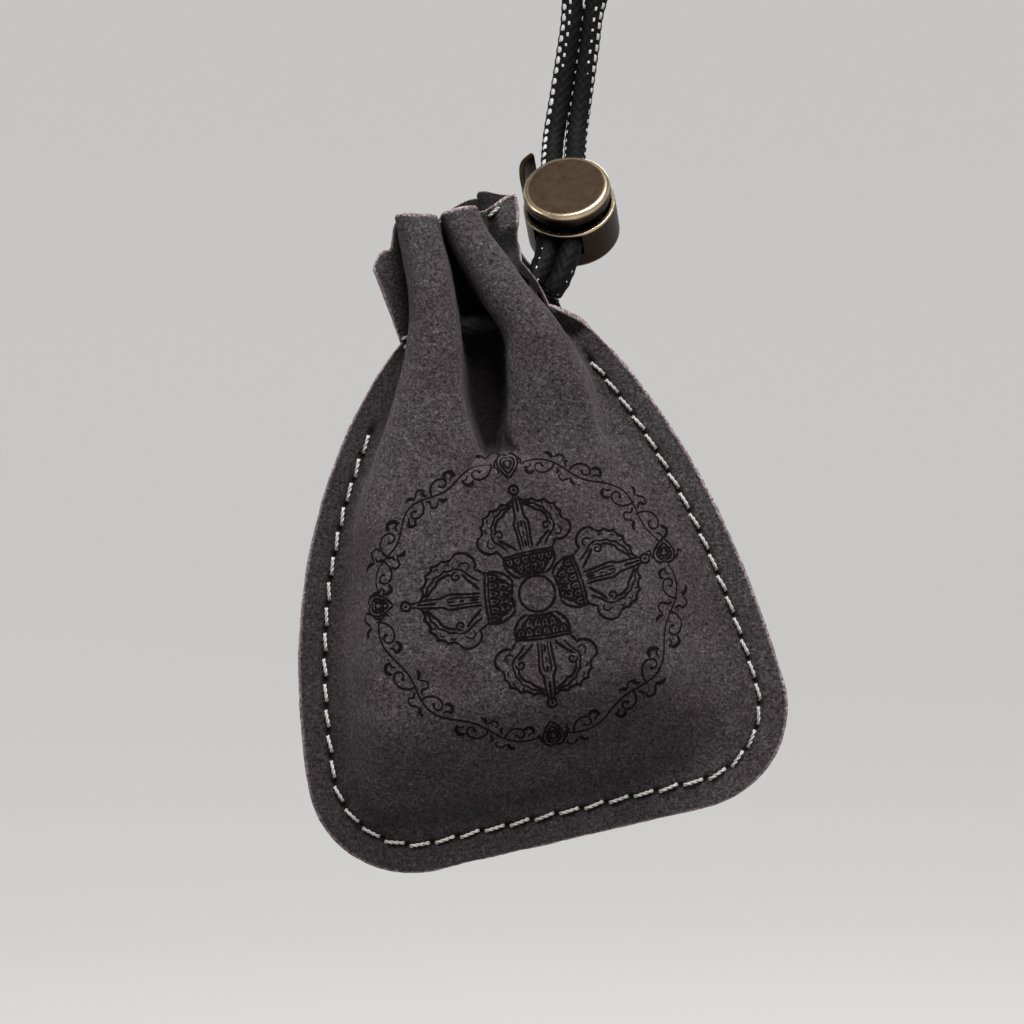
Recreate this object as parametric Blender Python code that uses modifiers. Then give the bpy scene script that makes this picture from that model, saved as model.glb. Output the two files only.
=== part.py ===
"""A small suede drawstring pouch with a doubled cord and a spring cord lock, hanging by its cord.

Metres, +Z up. The origin is the top of the cord's loop. X runs to the right and -Y to the front.
The pouch has its own frame: x to the right, y up its middle, d out of its front face.
"""
import math

import bpy
import numpy as np
from mathutils import Matrix, Vector

MM = 0.001
FIT_GAP = 0.3 * MM

# The pouch's own frame: where its foot hangs and how far its top leans to the left.
POUCH_FOOT = Vector((-7.0, -12.0, -160.9)) * MM
POUCH_LEAN = math.radians(13.0)

# The two suede panels.
LEATHER = 1.2 * MM
BODY_WIDTH = 75.4 * MM
NECK_WIDTH = 25.2 * MM
MOUTH_WIDTH = 24.0 * MM
NECK_HEIGHT = 80.0 * MM
PANEL_HEIGHT = 99.0 * MM
SHOULDER_POWER = 2.5
SHOULDER_EASE = 0.85
FOOT_SHIFT = 1.5 * MM
NECK_SHIFT = 4.6 * MM
MOUTH_SHIFT = 2.35 * MM
CORNER_LEFT = 16.5 * MM
CORNER_RIGHT = 16.0 * MM
FLAP_DROP = 3.6 * MM
RIGHT_TUCK = 2.6 * MM
RIGHT_TUCK_HEIGHT = 91.0 * MM
RIGHT_TUCK_REACH = 4.5 * MM

# Shares of the width between which the mouth's edge dips at the left and rises over the folds.
FLAP_END = 0.24
MOUTH_RISE_START = 0.1
MOUTH_RISE_FULL = 0.5
MOUTH_FALL_START = 0.75

# The flat stitched edge, and how it turns edge-on where the cord draws the neck in.
STITCH_INSET = 4.0 * MM
STITCH_TO_BELLY = 0.9 * MM
NECK_INSET_LOSS = 3.1 * MM
NECK_INSET_REACH = 8.0 * MM
WIDEST_FLAT_SHARE = 0.3

# The gap at the right seam where the two ends of the cord come out, and the shares of the
# width where it starts, is fully open and is tucked in.
CORD_GAP_HEIGHT = 83.4 * MM
CORD_GAP_REACH = 6.0 * MM
CORD_GAP_POWER = 6
CORD_GAP_FRONT = 5.3 * MM
CORD_GAP_BACK = 1.6 * MM
CORD_GAP_TUCK = 2.1 * MM
CORD_GAP_START = 0.70
CORD_GAP_FULL = 0.82
CORD_GAP_TUCK_START = 0.90

# The belly of each panel: how far in from each edge it rises, and how round the rise is.
BELLY_RISE_LEFT = 8.0 * MM
BELLY_RISE_RIGHT = 17.0 * MM
BELLY_RISE_FOOT = 20.0 * MM
BELLY_RISE_POWER = 0.8
STEEPEST_EDGE = 3.0

# Folds, from the left edge to the right: fold side, crest, fold side, valley, side, crest, side.
# Shares of the width say where each line runs at the neck and at the mouth.
FRONT = {
    "side": 1.0,
    "belly": 9.5 * MM,
    "neck": (0.085, 0.21, 0.385, 0.475, 0.56, 0.72, 0.86),
    "mouth": (0.19, 0.35, 0.510, 0.535, 0.56, 0.69, 0.82),
    "crest": 9.0 * MM,
    "flank": 4.0 * MM,
    "valley": 0.3 * MM,
    "mouth_rise": -1.0 * MM,
}
BACK = {
    "side": -1.0,
    "belly": 5.5 * MM,
    "neck": (0.05, 0.19, 0.360, 0.450, 0.54, 0.72, 0.86),
    "mouth": (0.19, 0.29, 0.390, 0.420, 0.45, 0.70, 0.93),
    "crest": 6.6 * MM,
    "flank": 3.4 * MM,
    "valley": 0.4 * MM,
    "mouth_rise": 1.8 * MM,
}
FOLD_STARTS = np.array((62.0, 46.0, 51.0, 54.5, 51.0, 46.0, 52.0)) * MM
FOLD_ENDS = np.array((80.0, 72.0, 67.0, 63.5, 67.0, 72.0, 78.0)) * MM
FOLD_SPANS = len(FOLD_STARTS) + 1

# Mesh steps of the panels, and points read from each smooth line before it is spaced evenly.
CORNER_ROWS = 6
ROW_STEP = 4.0 * MM
FOLD_ROW_STEP = 2.6 * MM
FOLD_ROWS_FROM = 56.0 * MM
COLUMNS_PER_FOLD_LINE = 3
STITCH_SAMPLES = 120
STITCH_CORNER_SAMPLES = 24
ROUTE_SAMPLES = 30

# Thread of the seam.
THREAD_DIAMETER = 0.6 * MM
THREAD_STEP = 3.4 * MM
THREAD_TOP_LEFT = 92.0 * MM
THREAD_TOP_RIGHT = 74.5 * MM

# The drawstring.
CORD_DIAMETER = 3.4 * MM
CORD_STEP = 2.6 * MM
CORD_END_GAP = 0.55 * MM
CORD_HOLE_HEIGHT = 80.0 * MM
CORD_HOLE_DEPTH = 3.8 * MM

# The cord lock. Its own frame: x across the two strands, y along them, z out of the button.
LOCK_CENTRE = Vector((-5.15, -8.6, -63.3)) * MM
LOCK_OUT = Vector((-0.136, -0.80, 0.583)).normalized()
STRAND_LEAN = 0.06
LOCK_WIDTH = 14.5 * MM
LOCK_WALL = 0.7 * MM
LOCK_FLOOR = 0.6 * MM
LOCK_LAND = 0.35 * MM
LOCK_EDGE = 0.9 * MM
RIM_EDGE = 0.15 * MM
BUTTON_WIDTH = 13.6 * MM
BUTTON_HEAD = 2.2 * MM
BUTTON_EDGE = 0.7 * MM
BUTTON_TRAVEL = 1.2 * MM
BUTTON_SIDE_WALL = 0.75 * MM
BUTTON_BRIDGE = 0.5 * MM
SPRING_ROOM = 1.9 * MM
SPRING_WIRE = 0.4 * MM
SPRING_TURNS = 2.5
SPRING_FOOT_WIDTH = 8.6 * MM
SPRING_TOP_WIDTH = 4.6 * MM
GUARD_WALL = 0.9 * MM
GUARD_TOP = 2.2 * MM
GUARD_DEPTH = 4.6 * MM
GUARD_STEP = 0.9 * MM
# The lip's curve: millimetres out from the window's side, and past the barrel's wall.
GUARD_ROUTE = ((0.0, -4.2), (1.1, -1.8), (1.5, 1.4), (1.2, 3.2), (0.0, 4.6))
TURNED_SIDES = 40
EDGE_SIDES = 5
SPRING_SIDES = 14
HOLE_SIDES = 16

WINDOW_HALF = CORD_DIAMETER / 2 + FIT_GAP
STRAND_PITCH = CORD_DIAMETER + FIT_GAP
BORE_RADIUS = LOCK_WIDTH / 2 - LOCK_WALL
STEM_RADIUS = BORE_RADIUS - FIT_GAP
WINDOW_SIDE = STEM_RADIUS - BUTTON_SIDE_WALL
STRAND_LEFT = -WINDOW_SIDE + FIT_GAP + CORD_DIAMETER / 2
STRAND_RIGHT = STRAND_LEFT + STRAND_PITCH
RIM_HEIGHT = WINDOW_HALF + LOCK_LAND
BRIDGE_BOTTOM = -WINDOW_HALF - BUTTON_BRIDGE
FLOOR_TOP = BRIDGE_BOTTOM - SPRING_ROOM
LOCK_BOTTOM = FLOOR_TOP - LOCK_FLOOR
HEAD_BOTTOM = RIM_HEIGHT + BUTTON_TRAVEL + FIT_GAP
HEAD_TOP = HEAD_BOTTOM + BUTTON_HEAD

# The drawstring's route. Inside the pouch: x, y and d in millimetres, from one exit round to the other.
NECK_ROUTE = (
    (15.2, 84.6, 2.9),
    (13.3, 82.4, 2.8),
    (11.2, 80.8, 3.2),
    (8.4, 80.0, 3.8),
    (5.6, 80.0, 3.9),
    (2.8, 80.0, 3.8),
    (0.6, 80.0, 3.2),
    (-1.1, 80.0, 1.7),
    (-1.6, 80.0, 0.0),
    (-1.1, 80.0, -1.8),
    (0.5, 80.0, -3.4),
    (2.6, 80.0, -3.8),
    (5.2, 80.0, -3.9),
    (7.8, 80.0, -3.8),
    (10.6, 79.7, -3.1),
    (13.2, 79.6, -1.4),
    (15.4, 80.2, 0.3),
    (17.5, 82.4, 2.3),
)
# Outside: x, y and z in millimetres in the world, between the pouch and the lock.
LEFT_TAIL = (
    (-9.8, -13.9, -72.4),
)
RIGHT_TAIL = (
    (-6.9, -14.4, -74.2),
)
# Above the lock: x, y and z in millimetres in the world, from the left strand over the loop.
LOOP_ROUTE = (
    (-7.3, 2.2, -46.4),
    (-6.6, 2.5, -41.5),
    (-5.8, 2.2, -36.0),
    (-5.1, 1.6, -30.2),
    (-5.1, 1.1, -24.4),
    (-6.2, 0.7, -18.6),
    (-7.6, 0.3, -12.8),
    (-7.6, 0.1, -7.2),
    (-4.7, 0.0, -3.2),
    (0.0, 0.0, -1.7),
    (4.7, 0.0, -3.2),
    (7.6, 0.1, -7.2),
    (7.6, 0.3, -12.8),
    (4.8, 0.7, -18.0),
    (1.3, 1.1, -22.8),
    (-0.9, 1.6, -28.6),
    (-2.0, 2.2, -35.0),
    (-2.9, 2.5, -41.0),
    (-3.7, 2.2, -46.4),
)
STRAIGHT_ABOVE_LOCK = 15.8 * MM
STRAIGHT_BELOW_LOCK = 0.2 * MM


def start_empty():
    """Removes every object and returns the collections for the parts and for the cutters."""
    for old in list(bpy.data.objects):
        bpy.data.objects.remove(old, do_unlink=True)
    parts = bpy.data.collections.new("drawstring_pouch")
    cutters = bpy.data.collections.new("cutters")
    bpy.context.scene.collection.children.link(parts)
    bpy.context.scene.collection.children.link(cutters)
    return parts, cutters


def material(name, colour, roughness, metallic=0.0):
    """A plain Principled material."""
    made = bpy.data.materials.new(name)
    made.use_nodes = True
    shader = made.node_tree.nodes["Principled BSDF"]
    shader.inputs["Base Color"].default_value = (*colour, 1.0)
    shader.inputs["Roughness"].default_value = roughness
    shader.inputs["Metallic"].default_value = metallic
    return made


def smooth_step(value, start, end):
    """0 before start, 1 after end, and a smooth rise between them."""
    share = np.clip((value - start) / (end - start), 0.0, 1.0)
    return share * share * (3.0 - 2.0 * share)


def half_width(y):
    """Half of the seamed width at a height."""
    below = np.clip(y / NECK_HEIGHT, 0.0, 1.0)
    body = (1.0 - below ** SHOULDER_POWER) ** SHOULDER_EASE
    above = np.clip((y - NECK_HEIGHT) / (PANEL_HEIGHT - NECK_HEIGHT), 0.0, 1.0)
    neck = NECK_WIDTH + (MOUTH_WIDTH - NECK_WIDTH) * above
    return (neck + (BODY_WIDTH - NECK_WIDTH) * body) / 2


def middle(y):
    """The sideways place of the pouch's middle at a height."""
    below = np.clip(y / NECK_HEIGHT, 0.0, 1.0)
    above = np.clip((y - NECK_HEIGHT) / (PANEL_HEIGHT - NECK_HEIGHT), 0.0, 1.0)
    return FOOT_SHIFT + NECK_SHIFT * below ** 3 - MOUTH_SHIFT * above


def corner_cut(y, radius):
    """How far a round corner of the foot cuts in at a height."""
    rise = radius - np.clip(y, 0.0, radius)
    return radius - np.sqrt(np.maximum(radius * radius - rise * rise, 0.0))


def edge_left(y):
    return middle(y) - half_width(y) + corner_cut(y, CORNER_LEFT)


def edge_right(y):
    tuck = RIGHT_TUCK * np.exp(-((y - RIGHT_TUCK_HEIGHT) / RIGHT_TUCK_REACH) ** 2)
    return middle(y) + half_width(y) - corner_cut(y, CORNER_RIGHT) - tuck


def stitch_inset(y):
    """The stitch line's distance from the edge, which looks narrower where the neck is drawn in."""
    return STITCH_INSET - NECK_INSET_LOSS * np.exp(-((y - NECK_HEIGHT) / NECK_INSET_REACH) ** 2)


def cord_gap(y):
    """1 where the right seam is open for the cord, 0 away from it."""
    return np.exp(-((y - CORD_GAP_HEIGHT) / CORD_GAP_REACH) ** CORD_GAP_POWER)


def belly_height(panel, x, y):
    """How far the panel stands out of the flat edge, before its folds."""
    inset = stitch_inset(y) + STITCH_TO_BELLY
    slope_left = np.clip(np.gradient(edge_left(y), y), -STEEPEST_EDGE, STEEPEST_EDGE)
    slope_right = np.clip(np.gradient(edge_right(y), y), -STEEPEST_EDGE, STEEPEST_EDGE)
    from_left = (x - edge_left(y)) / np.sqrt(1.0 + slope_left ** 2)
    from_right = (edge_right(y) - x) / np.sqrt(1.0 + slope_right ** 2)
    rise = smooth_step(from_left, inset, inset + BELLY_RISE_LEFT)
    rise = rise * smooth_step(from_right, inset, inset + BELLY_RISE_RIGHT) ** BELLY_RISE_POWER
    foot = STITCH_INSET + STITCH_TO_BELLY
    rise = rise * smooth_step(y, foot, foot + BELLY_RISE_FOOT) ** BELLY_RISE_POWER
    return panel["belly"] * rise


def spline(values, share):
    """A smooth curve through evenly spaced values, read at shares from 0 to 1."""
    spans = len(values) - 1
    place = np.clip(share * spans, 0.0, spans - 1e-9)
    first = place.astype(int)
    part = (place - first)[:, None]
    before = values[np.maximum(first - 1, 0)]
    here = values[first]
    after = values[first + 1]
    beyond = values[np.minimum(first + 2, spans)]
    bend = 2 * before - 5 * here + 4 * after - beyond
    twist = 3 * (here - after) + beyond - before
    return 0.5 * (2 * here + (after - before) * part + bend * part ** 2 + twist * part ** 3)


def panel_rows():
    """Heights of the mesh rows, closer together round the corners of the foot and in the folds."""
    radius = max(CORNER_LEFT, CORNER_RIGHT)
    turn = np.linspace(0.0, math.pi / 2, CORNER_ROWS + 1)
    corner = radius * (1.0 - np.cos(turn))
    plain = int(math.ceil((FOLD_ROWS_FROM - radius) / ROW_STEP))
    folded = int(math.ceil((PANEL_HEIGHT - FOLD_ROWS_FROM) / FOLD_ROW_STEP))
    belly = np.linspace(radius, FOLD_ROWS_FROM, plain + 1)[1:]
    neck = np.linspace(FOLD_ROWS_FROM, PANEL_HEIGHT, folded + 1)[1:]
    return np.concatenate((corner, belly, neck))


def panel_points(panel, rows, fold_columns):
    """The outer face of a panel as rows of points x, y, d in the pouch's frame."""
    inner = np.linspace(0.0, 1.0, FOLD_SPANS * fold_columns + 1)
    left = edge_left(rows)
    right = edge_right(rows)
    width = right - left
    inset = np.minimum(stitch_inset(rows) + STITCH_TO_BELLY, WIDEST_FLAT_SHARE * width)
    above = np.clip((rows - NECK_HEIGHT) / (PANEL_HEIGHT - NECK_HEIGHT), 0.0, 1.0)
    push_x = np.zeros((FOLD_SPANS + 1, len(rows)))
    push_d = np.zeros((FOLD_SPANS + 1, len(rows)))
    heights = (panel["flank"], panel["crest"], panel["flank"], panel["valley"],
               panel["flank"], panel["crest"], panel["flank"])
    for line in range(1, FOLD_SPANS):
        flat_x = left + inset + (width - 2 * inset) * line / FOLD_SPANS
        share = panel["neck"][line - 1] * (1 - above) + panel["mouth"][line - 1] * above
        weight = smooth_step(rows, FOLD_STARTS[line - 1], FOLD_ENDS[line - 1])
        push_x[line] = weight * (left + share * width - flat_x)
        push_d[line] = weight * (heights[line - 1] - belly_height(panel, flat_x, rows))
    columns = []
    for share in (0.0, 0.5):
        columns.append((left + inset * share, 0.0 * rows))
    for share in inner:
        flat_x = left + inset + (width - 2 * inset) * share
        place = np.full(1, share)
        x = flat_x + spline(push_x, place)[0]
        d = belly_height(panel, flat_x, rows) + spline(push_d, place)[0]
        columns.append((x, d))
    for share in (0.5, 0.0):
        columns.append((right - inset * share, 0.0 * rows))
    x = np.stack([column[0] for column in columns], axis=1)
    d = np.stack([column[1] for column in columns], axis=1)
    y = np.repeat(rows[:, None], x.shape[1], axis=1)

    # The mouth's edge dips toward the left seam.
    across = (x - left[:, None]) / width[:, None]
    dip = 1.0 - smooth_step(across, 0.0, FLAP_END)
    rise = smooth_step(across, MOUTH_RISE_START, MOUTH_RISE_FULL)
    rise = rise * (1.0 - smooth_step(across, MOUTH_FALL_START, 1.0))
    y = y + (panel["mouth_rise"] * rise - FLAP_DROP * dip) * above[:, None]

    # The right edge opens for the cord.
    column_share = np.linspace(0.0, 1.0, x.shape[1])[None, :]
    gap = cord_gap(rows)[:, None]
    open_share = gap * smooth_step(column_share, CORD_GAP_START, CORD_GAP_FULL)
    if panel["side"] > 0:
        x = x - CORD_GAP_TUCK * gap * smooth_step(column_share, CORD_GAP_TUCK_START, 1.0)
        d = np.maximum(d, CORD_GAP_FRONT * open_share)
    else:
        d = np.maximum(d, CORD_GAP_BACK * open_share)
    d = panel["side"] * (d + LEATHER + FIT_GAP / 2)
    return np.stack((x, y, d), axis=2)


def grid_mesh(name, points, flip):
    """A mesh of quads through rows of x, y, d points; the pouch's d is minus the mesh's own Y."""
    rows, columns = points.shape[:2]
    verts = [(p[0], -p[2], p[1]) for p in points.reshape(-1, 3)]
    faces = []
    for row in range(rows - 1):
        for column in range(columns - 1):
            corner = row * columns + column
            face = (corner, corner + 1, corner + columns + 1, corner + columns)
            faces.append(face[::-1] if flip else face)
    mesh = bpy.data.meshes.new(name)
    mesh.from_pydata(verts, [], faces)
    mesh.update()
    return mesh


def make_panel(name, panel, suede, parts, frame):
    """One suede panel: its outer face, thickened inward."""
    points = panel_points(panel, panel_rows(), COLUMNS_PER_FOLD_LINE)
    mesh = grid_mesh(name, points, panel["side"] < 0)
    obj = bpy.data.objects.new(name, mesh)
    obj.parent = frame
    obj.data.materials.append(suede)
    parts.objects.link(obj)
    mesh.shade_smooth()
    skin = obj.modifiers.new("thickness", "SOLIDIFY")
    skin.thickness = LEATHER
    skin.offset = -1.0
    skin.use_even_offset = False
    return obj


def cut_cord_holes(panel_object, panel, cutters, frame):
    """Punches the holes that lead the cord across the valley between the two folds."""
    left = float(edge_left(CORD_HOLE_HEIGHT))
    width = float(edge_right(CORD_HOLE_HEIGHT)) - left
    crest_left = left + panel["neck"][1] * width
    crest_right = left + panel["neck"][5] * width
    bpy.ops.mesh.primitive_cylinder_add(
        radius=CORD_DIAMETER / 2 + FIT_GAP, depth=crest_right - crest_left, vertices=HOLE_SIDES,
        rotation=(0.0, math.pi / 2, 0.0))
    cutter = bpy.context.object
    cutter.name = panel_object.name + "_hole_cutter"
    for collection in list(cutter.users_collection):
        collection.objects.unlink(cutter)
    cutters.objects.link(cutter)
    cutter.parent = frame
    depth = panel["side"] * CORD_HOLE_DEPTH
    cutter.location = ((crest_left + crest_right) / 2, -depth, CORD_HOLE_HEIGHT)
    cutter.hide_render = True
    cutter.display_type = "WIRE"
    cut = panel_object.modifiers.new("cord_holes", "BOOLEAN")
    cut.operation = "DIFFERENCE"
    cut.solver = "EXACT"
    cut.object = cutter


def curve_object(name, points, diameter, sides, look, parts):
    """A tube along a list of points, with its ends closed."""
    curve = bpy.data.curves.new(name, "CURVE")
    curve.dimensions = "3D"
    curve.bevel_depth = diameter / 2
    curve.bevel_resolution = sides
    curve.use_fill_caps = True
    line = curve.splines.new("POLY")
    line.points.add(len(points) - 1)
    for point, place in zip(line.points, points):
        point.co = (*place, 1.0)
    obj = bpy.data.objects.new(name, curve)
    obj.data.materials.append(look)
    parts.objects.link(obj)
    return obj


def smooth_route(route, step):
    """Evenly spaced points on a smooth curve through the route's own points."""
    route = np.array([tuple(point) for point in route])
    return even_points(spline(route, np.linspace(0.0, 1.0, ROUTE_SAMPLES * len(route))), step)


def stitch_line(side):
    """The seam's stitch line in the pouch's frame, from the left top round the foot to the right top."""
    heights = np.linspace(0.0, 1.0, STITCH_SAMPLES)
    left_y = THREAD_TOP_LEFT + (CORNER_LEFT - THREAD_TOP_LEFT) * heights
    right_y = CORNER_RIGHT + (THREAD_TOP_RIGHT - CORNER_RIGHT) * heights
    turn = np.linspace(0.0, math.pi / 2, STITCH_CORNER_SAMPLES)
    left_side = np.stack((edge_left(left_y) + stitch_inset(left_y), left_y), axis=1)
    right_side = np.stack((edge_right(right_y) - stitch_inset(right_y), right_y), axis=1)
    left_centre = float(edge_left(np.array(CORNER_LEFT))) + CORNER_LEFT
    right_centre = float(edge_right(np.array(CORNER_RIGHT))) - CORNER_RIGHT
    left_radius = CORNER_LEFT - STITCH_INSET
    right_radius = CORNER_RIGHT - STITCH_INSET
    left_corner = np.stack((left_centre - left_radius * np.cos(turn),
                            CORNER_LEFT - left_radius * np.sin(turn)), axis=1)
    right_corner = np.stack((right_centre + right_radius * np.sin(turn),
                             CORNER_RIGHT - right_radius * np.cos(turn)), axis=1)
    line = np.concatenate((left_side[:-1], left_corner, right_corner, right_side[1:]))
    depth = side * (LEATHER + FIT_GAP / 2 + FIT_GAP + THREAD_DIAMETER / 2)
    return np.column_stack((line, np.full(len(line), depth)))


def even_points(line, step):
    """Evenly spaced points along a polyline."""
    length = np.concatenate(((0.0,), np.cumsum(np.linalg.norm(np.diff(line, axis=0), axis=1))))
    even = np.linspace(0.0, length[-1], int(round(length[-1] / step)) + 1)
    return np.stack([np.interp(even, length, line[:, axis]) for axis in range(3)], axis=1)


def make_thread(name, side, look, parts, frame):
    """One thread of the seam, lying on its panel."""
    line = even_points(stitch_line(side), THREAD_STEP)
    points = [(x, -d, y) for x, y, d in line]
    obj = curve_object(name, points, THREAD_DIAMETER, 0, look, parts)
    obj.parent = frame
    return obj


def pouch_to_world(point):
    """A point x, y, d of the pouch's frame in the world."""
    turn = Matrix.Rotation(-POUCH_LEAN, 4, "Y")
    return POUCH_FOOT + turn @ Vector((point[0], -point[2], point[1]))


def lock_matrix():
    """The cord lock's frame: x across the strands, y along them, z out of the button."""
    along = Vector((STRAND_LEAN, 0.0, 1.0))
    along.y = (-LOCK_OUT.x * along.x - LOCK_OUT.z * along.z) / LOCK_OUT.y
    along.normalize()
    across = along.cross(LOCK_OUT)
    turn = Matrix((across, along, LOCK_OUT)).transposed().to_4x4()
    return Matrix.Translation(LOCK_CENTRE) @ turn


def lock_point(x, y):
    """A point of the strands' plane through the lock, in the world."""
    return lock_matrix() @ Vector((x, y, 0.0))


def cord_routes():
    """The threaded part and the free part of the one closed cord, as even points in the world."""
    neck = [pouch_to_world(Vector(point) * MM) for point in NECK_ROUTE]
    reach = LOCK_WIDTH / 2
    straight = (-reach - STRAIGHT_BELOW_LOCK, 0.0, reach, STRAIGHT_ABOVE_LOCK)
    left = [lock_point(STRAND_LEFT, place) for place in straight]
    right = [lock_point(STRAND_RIGHT, place) for place in straight]
    left_tail = [Vector(point) * MM for point in LEFT_TAIL]
    right_tail = [Vector(point) * MM for point in RIGHT_TAIL]
    loop = [Vector(point) * MM for point in LOOP_ROUTE]
    free = [*right_tail, *right, *reversed(loop), *reversed(left), *reversed(left_tail)]
    ring = [*neck, *free]
    ring = np.array([tuple(point) for point in [*ring[-2:], *ring, *ring[:3]]])
    spans = len(ring) - 1
    first, last, end = 2, 1 + len(neck), spans - 2
    threaded = spline(ring, np.linspace(first, last, ROUTE_SAMPLES * len(neck)) / spans)
    hanging = spline(ring, np.linspace(last, end, ROUTE_SAMPLES * len(free)) / spans)
    threaded = trim_ends(even_points(threaded, CORD_STEP), CORD_END_GAP)
    hanging = trim_ends(even_points(hanging, CORD_STEP), CORD_END_GAP)
    return threaded, hanging


def make_drawstring(look, parts):
    """The doubled cord as two solids that meet at the seam's gap."""
    threaded, hanging = cord_routes()
    curve_object("drawstring_neck", threaded, CORD_DIAMETER, 2, look, parts)
    curve_object("drawstring_loop", hanging, CORD_DIAMETER, 2, look, parts)


def trim_ends(points, gap):
    """Shortens a line of points by a gap at both ends."""
    points = points.copy()
    for end, inner in ((0, 1), (-1, -2)):
        way = points[inner] - points[end]
        points[end] = points[end] + way * gap / np.linalg.norm(way)
    return points


def arc_points(centre, radius, start, end):
    """Points on an arc, with angles in degrees."""
    turn = np.radians(np.linspace(start, end, EDGE_SIDES + 1))
    return [(centre[0] + radius * math.cos(a), centre[1] + radius * math.sin(a)) for a in turn]


def turned(name, profile, look, collection, frame):
    """A turned solid from a profile of radius and height."""
    mesh = bpy.data.meshes.new(name)
    verts = [(r, 0.0, z) for r, z in profile]
    mesh.from_pydata(verts, [(i, i + 1) for i in range(len(verts) - 1)], [])
    obj = bpy.data.objects.new(name, mesh)
    obj.data.materials.append(look)
    collection.objects.link(obj)
    obj.parent = frame
    screw = obj.modifiers.new("turn", "SCREW")
    screw.axis = "Z"
    screw.steps = TURNED_SIDES
    screw.render_steps = TURNED_SIDES
    screw.use_merge_vertices = True
    screw.merge_threshold = 0.00001
    return obj


def box_cutter(name, size, centre, cutters, frame):
    """A box that cuts another solid."""
    bpy.ops.mesh.primitive_cube_add(size=1.0)
    box = bpy.context.object
    box.name = name
    for collection in list(box.users_collection):
        collection.objects.unlink(box)
    cutters.objects.link(box)
    box.data.transform(Matrix.Diagonal((*size, 1.0)))
    box.parent = frame
    box.location = centre
    box.hide_render = True
    box.display_type = "WIRE"
    return box


def boolean(obj, other, operation):
    """Adds an exact Boolean modifier."""
    step = obj.modifiers.new(other.name, "BOOLEAN")
    step.operation = operation
    step.solver = "EXACT"
    step.object = other


def make_guard(cutters, frame):
    """The small curved lip beside the strands on the far side of the barrel."""
    side = -WINDOW_SIDE - GUARD_WALL
    path = [(side - out * MM, LOCK_WIDTH / 2 + past * MM, 0.0) for out, past in GUARD_ROUTE]
    path = smooth_route(path, GUARD_STEP)
    mesh = bpy.data.meshes.new("guard")
    low = GUARD_TOP - GUARD_DEPTH
    verts = [(x, y, low) for x, y, z in path] + [(x, y, GUARD_TOP) for x, y, z in path]
    count = len(path)
    faces = [(i, i + 1, count + i + 1, count + i) for i in range(count - 1)]
    mesh.from_pydata(verts, [], faces)
    guard = bpy.data.objects.new("guard", mesh)
    cutters.objects.link(guard)
    guard.parent = frame
    guard.hide_render = True
    guard.display_type = "WIRE"
    skin = guard.modifiers.new("thickness", "SOLIDIFY")
    skin.thickness = GUARD_WALL
    skin.offset = 0.0
    return guard


def make_lock_body(brass, parts, cutters, frame):
    """The barrel: open at the top, with a window through it for the two strands."""
    outer = LOCK_WIDTH / 2
    edge = arc_points((outer - LOCK_EDGE, LOCK_BOTTOM + LOCK_EDGE), LOCK_EDGE, 0.0, -90.0)
    profile = [(0.0, FLOOR_TOP), (BORE_RADIUS, FLOOR_TOP), (BORE_RADIUS, RIM_HEIGHT - RIM_EDGE),
               (BORE_RADIUS + RIM_EDGE, RIM_HEIGHT), (outer - RIM_EDGE, RIM_HEIGHT),
               (outer, RIM_HEIGHT - RIM_EDGE), *edge, (0.0, LOCK_BOTTOM)]
    body = turned("lock_body", profile, brass, parts, frame)
    guard = make_guard(cutters, frame)
    boolean(body, guard, "UNION")
    right = STRAND_RIGHT + WINDOW_HALF
    window = box_cutter("body_window_cutter", (right + WINDOW_SIDE, 3 * LOCK_WIDTH, 2 * WINDOW_HALF),
                        ((right - WINDOW_SIDE) / 2, 0.0, 0.0), cutters, frame)
    boolean(body, window, "DIFFERENCE")
    return body


def make_lock_button(brass, parts, cutters, frame):
    """The button: a wide head on a stem that has its own window."""
    head = BUTTON_WIDTH / 2
    edge = arc_points((head - BUTTON_EDGE, HEAD_TOP - BUTTON_EDGE), BUTTON_EDGE, 90.0, 0.0)
    profile = [(0.0, HEAD_TOP), *edge, (head, HEAD_BOTTOM), (STEM_RADIUS, HEAD_BOTTOM),
               (STEM_RADIUS, BRIDGE_BOTTOM), (0.0, BRIDGE_BOTTOM)]
    button = turned("lock_button", profile, brass, parts, frame)
    size = (2 * WINDOW_SIDE, LOCK_WIDTH, 2 * WINDOW_HALF + BUTTON_TRAVEL)
    window = box_cutter("button_window_cutter", size, (0.0, 0.0, BUTTON_TRAVEL / 2), cutters, frame)
    boolean(button, window, "DIFFERENCE")
    return button


def make_lock_spring(steel, parts, frame):
    """A conical spring that closes flat under the stem."""
    low = FLOOR_TOP + FIT_GAP + SPRING_WIRE / 2
    high = BRIDGE_BOTTOM - FIT_GAP - SPRING_WIRE / 2
    count = int(SPRING_SIDES * SPRING_TURNS)
    points = []
    for step in range(count + 1):
        share = step / count
        turn = 2 * math.pi * SPRING_TURNS * share
        radius = (SPRING_FOOT_WIDTH + (SPRING_TOP_WIDTH - SPRING_FOOT_WIDTH) * share - SPRING_WIRE) / 2
        points.append((radius * math.cos(turn), radius * math.sin(turn), low + (high - low) * share))
    spring = curve_object("lock_spring", points, SPRING_WIRE, 1, steel, parts)
    spring.parent = frame
    return spring


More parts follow.
